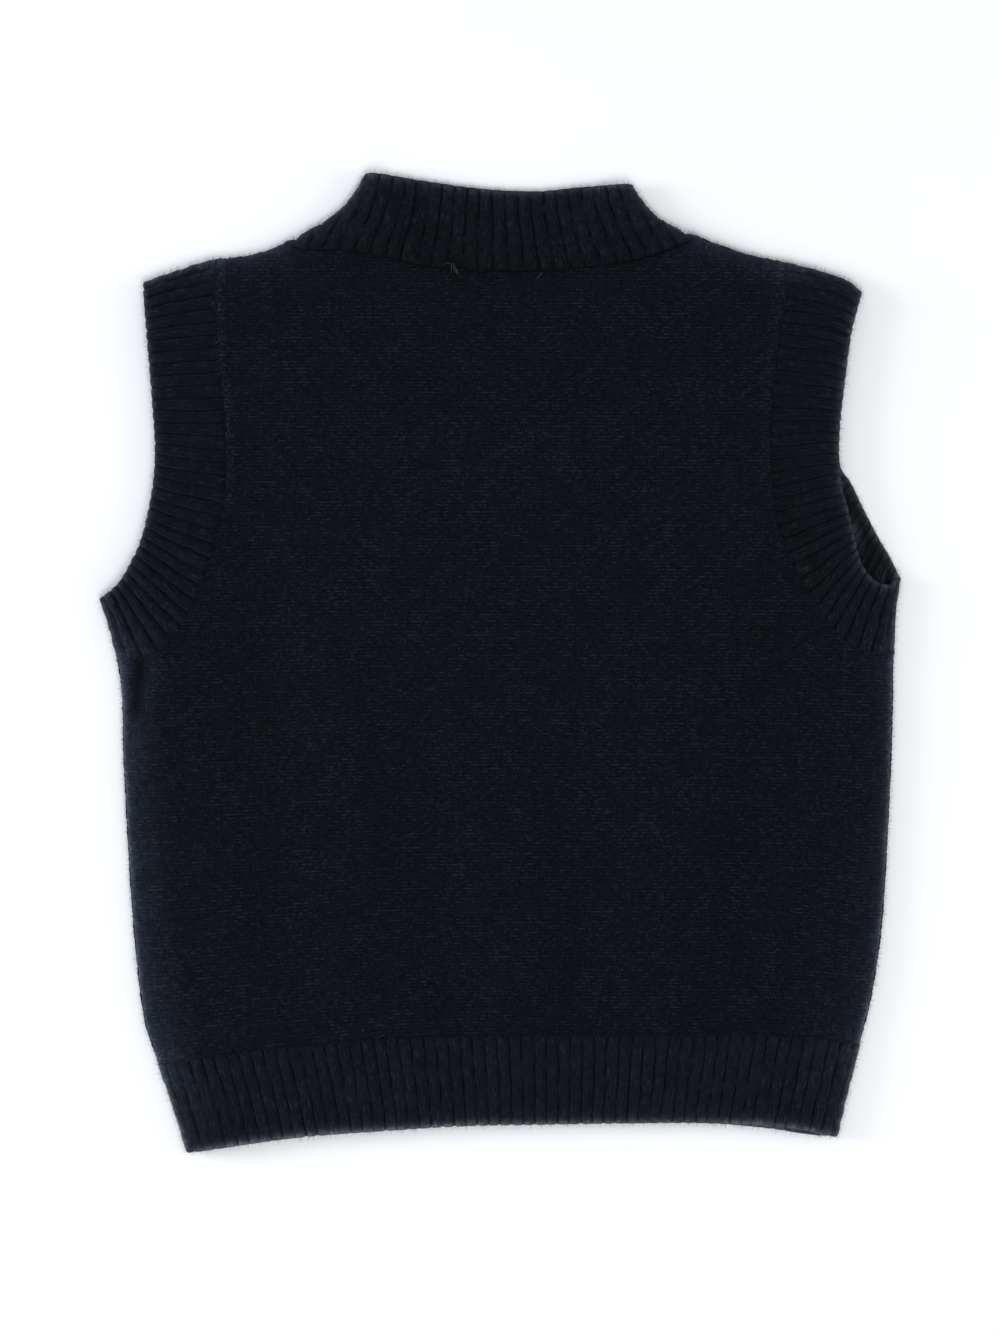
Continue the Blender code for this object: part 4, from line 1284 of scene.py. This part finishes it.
def strand_tree():
    """Round strands of thread along lines of points."""
    tree, given, end = growing_tree("strands", ("Thickness", NUMBER, 0.14 * MM))
    line = add(tree, "GeometryNodeMeshToCurve", Mesh=given["Geometry"])
    strand = tube(line, 6, given["Thickness"], Fill_Caps=True)
    return finish_tree(tree, end, strand, given["Finish"])


def loose_threads(name, rows, finish):
    """Ends of thread, each along its own smooth way over a layer of the knit."""
    points, edges = [], []
    for layer, *way in rows:
        way = smooth(np.array(way) * MM, 5)
        front = layer == "front"
        height = -way[:, 2] if front else way[:, 2] + JERSEY
        first = sum(len(line) for line in points)
        points.append(lie(way[:, :2], height, np.full(len(way), front)))
        edges += [(first + k, first + k + 1) for k in range(len(way) - 1)]
    mesh = bpy.data.meshes.new(name)
    mesh.from_pydata(np.vstack(points), edges, [])
    return grown(mesh, STRANDS, name, finish)


# ---------------------------------------------------------------- finishes

# A loop of the plain knit, in stitches.
LEG_SLANT = 0.7             # how far its legs rise from its middle to its sides
LEG_ROUND = 2.2             # how round a leg is across, and how flat on top
LEG_FLAT = 0.6
LINK_ROUND = 2.5            # how round a loop is along, and its height where two of them meet
LINK_LEAST = 0.3
FIBRE_HEIGHT = 0.5          # height of the fibres, as a share of a loop's

# Broken lines along the courses, bright dashes of gleam and dark dashes of painted shade between
# the courses: how far from the middle of a course they fade, and the length of their dashes with
# the levels of noise between which a dash fades in.
GLEAM_BAND = (0.04, 0.26)
GLEAM_DASHES = (2.9 * MM, 0.5, 0.68)
COURSE_SHADE_BAND = (0.27, 0.43)
COURSE_SHADE_DASHES = (2.8 * MM, 0.48, 0.62)
COURSE_SHADE_ROWS = 0.37             # sets the noise of the painted shade between courses apart from the gleam's
ROWS_APART = 7.31           # the same from row to row

# Noises of the yarn, by scale, detail and roughness.
GRAIN_NOISE = (1.0, 3.0, 0.65)
MOTTLE_NOISE = (85.0, 4.0, 0.6)
STROKE_NOISE = (1.0, 1.0, 0.5)
CLUSTER_NOISE = (62.0, 1.5, 0.5)
DASH_NOISE = (1.0, 1.5, 0.6)

# Levels of noise or chance between which each of these fades in.
STROKE_LEVELS = (0.6, 0.74)
CLUSTER_LEVELS = (0.3, 0.66)
TONE_LEVELS = (0.15, 1.0)
FLECK_LEVELS = (0.55, 0.7)
SPARK_LEVELS = (0.94, 1.0)
TONE_PARTS = (0.25, 0.4, 0.35)      # of a yarn's tone: its loop's own, its fibres', the mottle's
CLUSTER_LEAST = 0.5         # share of the gleam that is left between its clusters

KNIT_BUMP = 0.45 * MM
SHEEN = 0.05
# Colour of the painted sheen along folds and edges, and how it follows the yarn.
PAINTED_SHEEN_COLOUR = (0.0084, 0.0106, 0.0170)
PAINTED_SHEEN_PARTS = (0.3, 1.15, 0.6)        # of the painted sheen: everywhere, with the tone, with gleam
# Colour of the painted highlight flecks.
FLECK_LIGHT = (0.0125, 0.0135, 0.0150)
PAINTED_SHADE_TONE = 0.09           # how much the painted shade darkens, or the painted light lightens, cloth per millimetre of swell

# The two knits: their yarn's dark and light colours, its gleam, the painted highlight at a rim,
# the painted shade of a groove, and the inputs of their loops.
KNITS = {
    "plain_knit": dict(
        dark=(0.0004, 0.0013, 0.0030), light=(0.0031, 0.0049, 0.0088),
        gleam=(0.0142, 0.0174, 0.0220), rim_light=(0.0112, 0.0116, 0.0162), groove_shade=0.0,
        Across=0.95, Upright=0.5, Sparks=0.45, Grain=(900.0, 1900.0, 1.0),
        Strokes=(1500.0, 620.0, 1.0), Fleck_Scale=(620.0, 1200.0, 1.0)),
    "rib_knit": dict(
        dark=(0.0010, 0.0018, 0.0030), light=(0.0043, 0.0060, 0.0088),
        gleam=(0.0135, 0.0170, 0.0215), rim_light=(0.0130, 0.0131, 0.0153), groove_shade=0.35,
        Across=0.15, Upright=0.7, Sparks=0.15, Grain=(2400.0, 480.0, 1.0),
        Strokes=(1500.0, 220.0, 1.0), Fleck_Scale=(1300.0, 330.0, 1.0)),
}


def noise(place, levels, stretch=None):
    """Adds flat noise at a place, which may be stretched first, and returns it."""
    if stretch is not None:
        place = add(place.tree, "ShaderNodeMapping", Vector=place, Scale=stretch)
    scale, detail, roughness = levels
    return add(place.tree, "ShaderNodeTexNoise", {"noise_dimensions": "2D"}, Vector=place,
               Scale=scale, Detail=detail, Roughness=roughness)


def streaks(count, travel, length, low, high):
    """Adds bright stretches along knitted rows: each row's own, by its count and the travel."""
    place = add(count.tree, "ShaderNodeCombineXYZ", X=travel / length,
                Y=count * ROWS_APART)
    return soft_step(noise(place, DASH_NOISE), low, high)


def knit_loops_group():
    """Shader group: the V-shaped loops of plain knit, their broken gleam and the painted shade
    between their courses, by flat place.
    """
    tree, given, end = new_tree(
        "knit loops", "ShaderNodeTree",
        [("Flat", VECTOR), ("Wale", NUMBER, WALE), ("Course", NUMBER, COURSE),
         ("Across", NUMBER, 1.0), ("Upright", NUMBER, 0.6), ("Sparks", NUMBER, 0.5),
         ("Grain", VECTOR), ("Strokes", VECTOR), ("Fleck Scale", VECTOR)],
        [(name, NUMBER) for name in ("Height", "Tone", "Gleam", "Gap", "Flecks")])
    flat = given["Flat"]
    travel = add(tree, "ShaderNodeSeparateXYZ", Vector=flat)
    level = output(travel, "Y") / given["Course"]
    x = travel / given["Wale"]
    column = math.floor(x)
    aside = abs(x - column - 0.5) * 2.0
    y = level - aside * LEG_SLANT
    row = math.floor(y)
    ahead = abs(y - row - 0.5) * 2.0
    leg = 1.0 - abs(aside * 2.0 - 1.0) ** LEG_ROUND
    link = 1.0 - ahead ** LINK_ROUND
    loops = leg ** LEG_FLAT * at_least(LINK_LEAST, link)
    cell = add(tree, "ShaderNodeCombineXYZ", X=column, Y=row)
    loop = output(add(tree, "ShaderNodeTexWhiteNoise", {"noise_dimensions": "2D"}, Vector=cell),
                  "Value")
    fibre = noise(flat, GRAIN_NOISE, given["Grain"])
    own, grain, mottle = (part * share for part, share in zip(
        (loop, fibre, noise(flat, MOTTLE_NOISE)), TONE_PARTS))
    tone = own + grain + mottle
    line = math.floor(level)
    band = abs(level - line - 0.5)
    gleam = soft_step(band, *GLEAM_BAND, 1.0, 0.0) * streaks(line, travel, *GLEAM_DASHES)
    # Painted shade in the gaps between the courses, in dashes.
    between = math.floor(level + 0.5) + COURSE_SHADE_ROWS
    gap = soft_step(band, *COURSE_SHADE_BAND) * streaks(between, travel, *COURSE_SHADE_DASHES) * given["Across"]
    upright = soft_step(noise(flat, STROKE_NOISE, given["Strokes"]), *STROKE_LEVELS)
    gleam = calc("MAXIMUM", gleam * given["Across"], upright * given["Upright"])
    sparks = soft_step(loop, *SPARK_LEVELS) * loops
    gleam = calc("MAXIMUM", gleam, sparks * given["Sparks"])
    clusters = soft_step(noise(flat, CLUSTER_NOISE), *CLUSTER_LEVELS, CLUSTER_LEAST, 1.0)
    flecks = soft_step(noise(flat, STROKE_NOISE, given["Fleck Scale"]), *FLECK_LEVELS)
    feed(tree, end, Height=loops + fibre * FIBRE_HEIGHT, Tone=soft_step(tone, *TONE_LEVELS),
         Gleam=gleam * clusters, Gap=gap, Flecks=flecks)
    return tree


def tint(factor, first, last):
    """Adds a blend of two colours, and returns it. Each is a wire or plain numbers."""
    made = factor.tree.nodes.new("ShaderNodeMix")
    made.data_type = "RGBA"
    feed(factor.tree, made, Factor=factor)
    for socket, colour in ((made.inputs[6], first), (made.inputs[7], last)):
        give(factor.tree, socket, colour if isinstance(colour, Wire) else (*colour, 1.0))
    return Wire(factor.tree, made.outputs[2])


def raised(colour, more, share):
    """Adds a share of a plain colour to a wire's colour, and returns the sum."""
    return calc("ADD", colour, scaled(more, share), kind=VECTOR_MATHS)


def mesh_value(tree, name):
    """Adds the reading of a mesh's named values in a material, and returns them."""
    return output(add(tree, "ShaderNodeAttribute", {"attribute_name": name}), "Fac")


def knit_finish(name, dark, light, gleam, rim_light, groove_shade, **loop_values):
    """Matt wool: loops and fibres in the bump; uneven yarn in the colour, with painted gleam, sheen,
    highlights and shade.
    """
    finish = bpy.data.materials.new(name)
    finish.use_nodes = True
    tree = finish.node_tree
    loops = add(tree, "ShaderNodeGroup", {"node_tree": KNIT_LOOPS},
                Flat=add(tree, "ShaderNodeUVMap", {"uv_map": "flat"}), **loop_values)
    tone, shine, gap, flecks, height = (
        output(loops, key) for key in ("Tone", "Gleam", "Gap", "Flecks", "Height"))
    colour = tint(shine, tint(tone, dark, light), gleam)
    # Painted shade between the courses darkens the colour.
    colour = scaled(colour, 1.0 - gap)
    # Painted sheen and painted rim highlight near folds and edges, then painted highlight flecks.
    everywhere, by_tone, by_gleam = PAINTED_SHEEN_PARTS
    uneven = everywhere + tone * by_tone + shine * by_gleam
    colour = raised(colour, PAINTED_SHEEN_COLOUR, mesh_value(tree, "glow") * uneven)
    colour = raised(colour, rim_light, mesh_value(tree, "rim") * uneven)
    colour = raised(colour, FLECK_LIGHT, mesh_value(tree, "fleck") * flecks)
    # Painted shade and light from creases, seams and shades, read from the swell attribute.
    swell = calc("MULTIPLY_ADD", mesh_value(tree, "swell"), PAINTED_SHADE_TONE, 1.0)
    colour = scaled(colour, swell)
    if groove_shade:
        colour = scaled(colour, 1.0 - mesh_value(tree, "groove") * groove_shade)
    bump = add(tree, "ShaderNodeBump", Strength=0.8, Distance=KNIT_BUMP, Height=height)
    feed(tree, tree.nodes["Principled BSDF"], Base_Color=colour, Normal=bump, Roughness=0.8,
         Specular_IOR_Level=0.06, Sheen_Weight=SHEEN, Sheen_Roughness=0.3,
         Sheen_Tint=(0.5, 0.68, 1.0, 1.0))
    return finish


def plain_finish(name, colour, roughness, specular):
    """A plain matt surface."""
    finish = bpy.data.materials.new(name)
    finish.use_nodes = True
    feed(finish.node_tree, finish.node_tree.nodes["Principled BSDF"],
         Base_Color=(*colour, 1.0), Roughness=roughness, Specular_IOR_Level=specular)
    return finish


# ---------------------------------------------------------------- stage

FRAME_LENGTH = 587 * MM     # what the frame's long side takes in, at the folds' height
CAMERA_HEIGHT = 2.0
SENSOR = 36.0
CAMERA_SHIFT = -1.76 * MM   # where it stands along the vest
FLOOR_SIZE = 8.0
FLOOR_DROP = -0.05 * MM     # keeps the floor clear of the underside
FLOOR_COLOUR = (0.92, 0.92, 0.92)
SURROUND = {"Color": (0.93, 0.96, 1.0, 1.0), "Strength": 0.6}

# Lights: name, place and size in metres, power in watts, colour.
LIGHTS = (
    ("left light", (-2.0, 0.2, 0.5), 0.8, 40.0, (0.86, 0.93, 1.0)),
    ("right light", (2.0, -0.1, 0.6), 0.8, 18.0, (0.9, 0.95, 1.0)),
    ("top light", (0.2, -1.1, 2.2), 1.2, 20.0, (1.0, 1.0, 1.0)),
)


def camera():
    """A camera straight above, with the neck at the top of the frame."""
    data = bpy.data.cameras.new("camera")
    data.sensor_width = SENSOR
    data.lens = SENSOR * CAMERA_HEIGHT / FRAME_LENGTH
    made = linked("camera", data)
    made.location = (0.0, CAMERA_SHIFT, CAMERA_HEIGHT + FOLD_HEIGHT)
    bpy.context.scene.camera = made


def area_light(name, place, size, power, colour):
    """A square soft light that faces the middle of the vest."""
    data = bpy.data.lights.new(name, "AREA")
    data.size = size
    data.energy = power
    data.color = colour
    made = linked(name, data)
    made.location = place
    made.rotation_euler = (-made.location.normalized()).to_track_quat("-Z", "Y").to_euler()


def studio():
    """A pale floor, a pale surround and soft lights."""
    mesh = bpy.data.meshes.new("floor")
    half = FLOOR_SIZE / 2
    mesh.from_pydata([(-half, -half, 0), (half, -half, 0), (half, half, 0), (-half, half, 0)],
                     [], [(0, 1, 2, 3)])
    mesh.materials.append(plain_finish("pale_floor", FLOOR_COLOUR, 0.9, 0.0))
    floor = linked("floor", mesh)
    floor.location = (0.0, 0.0, FLOOR_DROP)
    world = bpy.data.worlds.new("surround")
    world.use_nodes = True
    feed(world.node_tree, world.node_tree.nodes["Background"], **SURROUND)
    bpy.context.scene.world = world
    for row in LIGHTS:
        area_light(*row)
    bpy.context.scene.view_settings.view_transform = "Standard"


# ---------------------------------------------------------------- the vest

def finished(piece, slot, *nodes):
    """Fixes a piece to the body, with its slot and the nodes that it stands for."""
    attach(piece, "root")
    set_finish(piece, slot)
    if nodes:
        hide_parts(*nodes)
    return piece


KNIT_LOOPS = knit_loops_group()
RIB_RELIEF = rib_relief_tree()
NAP = nap_tree()
LINKING = linking_tree()
STRANDS = strand_tree()
PLAIN_KNIT, RIB_KNIT = (knit_finish(name, **row) for name, row in KNITS.items())
YARN = plain_finish("linking_yarn", (0.0060, 0.0085, 0.0120), 0.9, 0.05)
PALE_THREAD = plain_finish("pale_thread", (0.034, 0.038, 0.032), 0.8, 0.1)
# Loose fibres are lighter than the knit's yarn: painted sheen of fibres that catch the light.
FIBRE = plain_finish("loose_fibre", (0.022, 0.028, 0.040), 0.9, 0.05)

# Nap of each piece: fibres to a square metre all over, more at its edges, seed.
NAPS = {
    "back_knit": (2.4e4, 1.8e6, 21),
    "front_knit": (0.0, 1.2e6, 22),
    "neck_rib": (2e4, 1.2e6, 23),
    "arm_rib_left": (2e4, 1.2e6, 24),
    "arm_rib_right": (2e4, 1.2e6, 25),
    "hem_rib": (1.5e4, 1.4e6, 26),
}

# Cut of each sheet before it was laid: width, length and area, in metres. A band is a strip,
# all round.
CUTS = {
    "back": (0.345, 0.355, 0.102),
    "front": (0.345, 0.355, 0.096),
    "neck": (0.363, 0.037, None),
    "left arm": (0.345, 0.033, None),
    "right arm": (0.333, 0.032, None),
    "hem": (0.595, 0.040, None),
}

camera()
studio()
pieces = {}
for layer in LAYERS:
    pieces[layer] = finished(body_panel(layer, PLAIN_KNIT), "plain_knit", f"{layer}_panel")
for band, row in BANDS.items():
    pieces[band] = finished(ribbed_band(band, RIB_KNIT), "rib_knit", *row["nodes"])
borne = {}
for key, piece in pieces.items():
    borne[key] = [finished(nap(piece, FIBRE, *NAPS[piece.name]), piece["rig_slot"])]
for layer in LAYERS:
    rows = [panel_stitches(SEAM[f"{side} arm {layer}"], layer, seed)
            for side, seed in zip(SIDES, (41, 42))]
    linking = stitches(f"armhole_linking_{layer}", rows, YARN, Seed=31)
    borne[layer].append(finished(linking, "plain_knit"))
rows = [fold_stitches(FOLD[f"{side} {part}"]) for side in SIDES for part in ("side", "shoulder")]
linking = stitches("side_linking", rows, YARN, Seed=33, Width=1.0 * MM)
threads = loose_threads("thread_ends", THREAD_ENDS, PALE_THREAD)
borne["back"] += [finished(linking, "plain_knit"), finished(threads, "plain_knit")]

for key, (width, length, area) in CUTS.items():
    rests_on = [pieces["front"]] if key == "back" else []

bpy.context.view_layer.update()
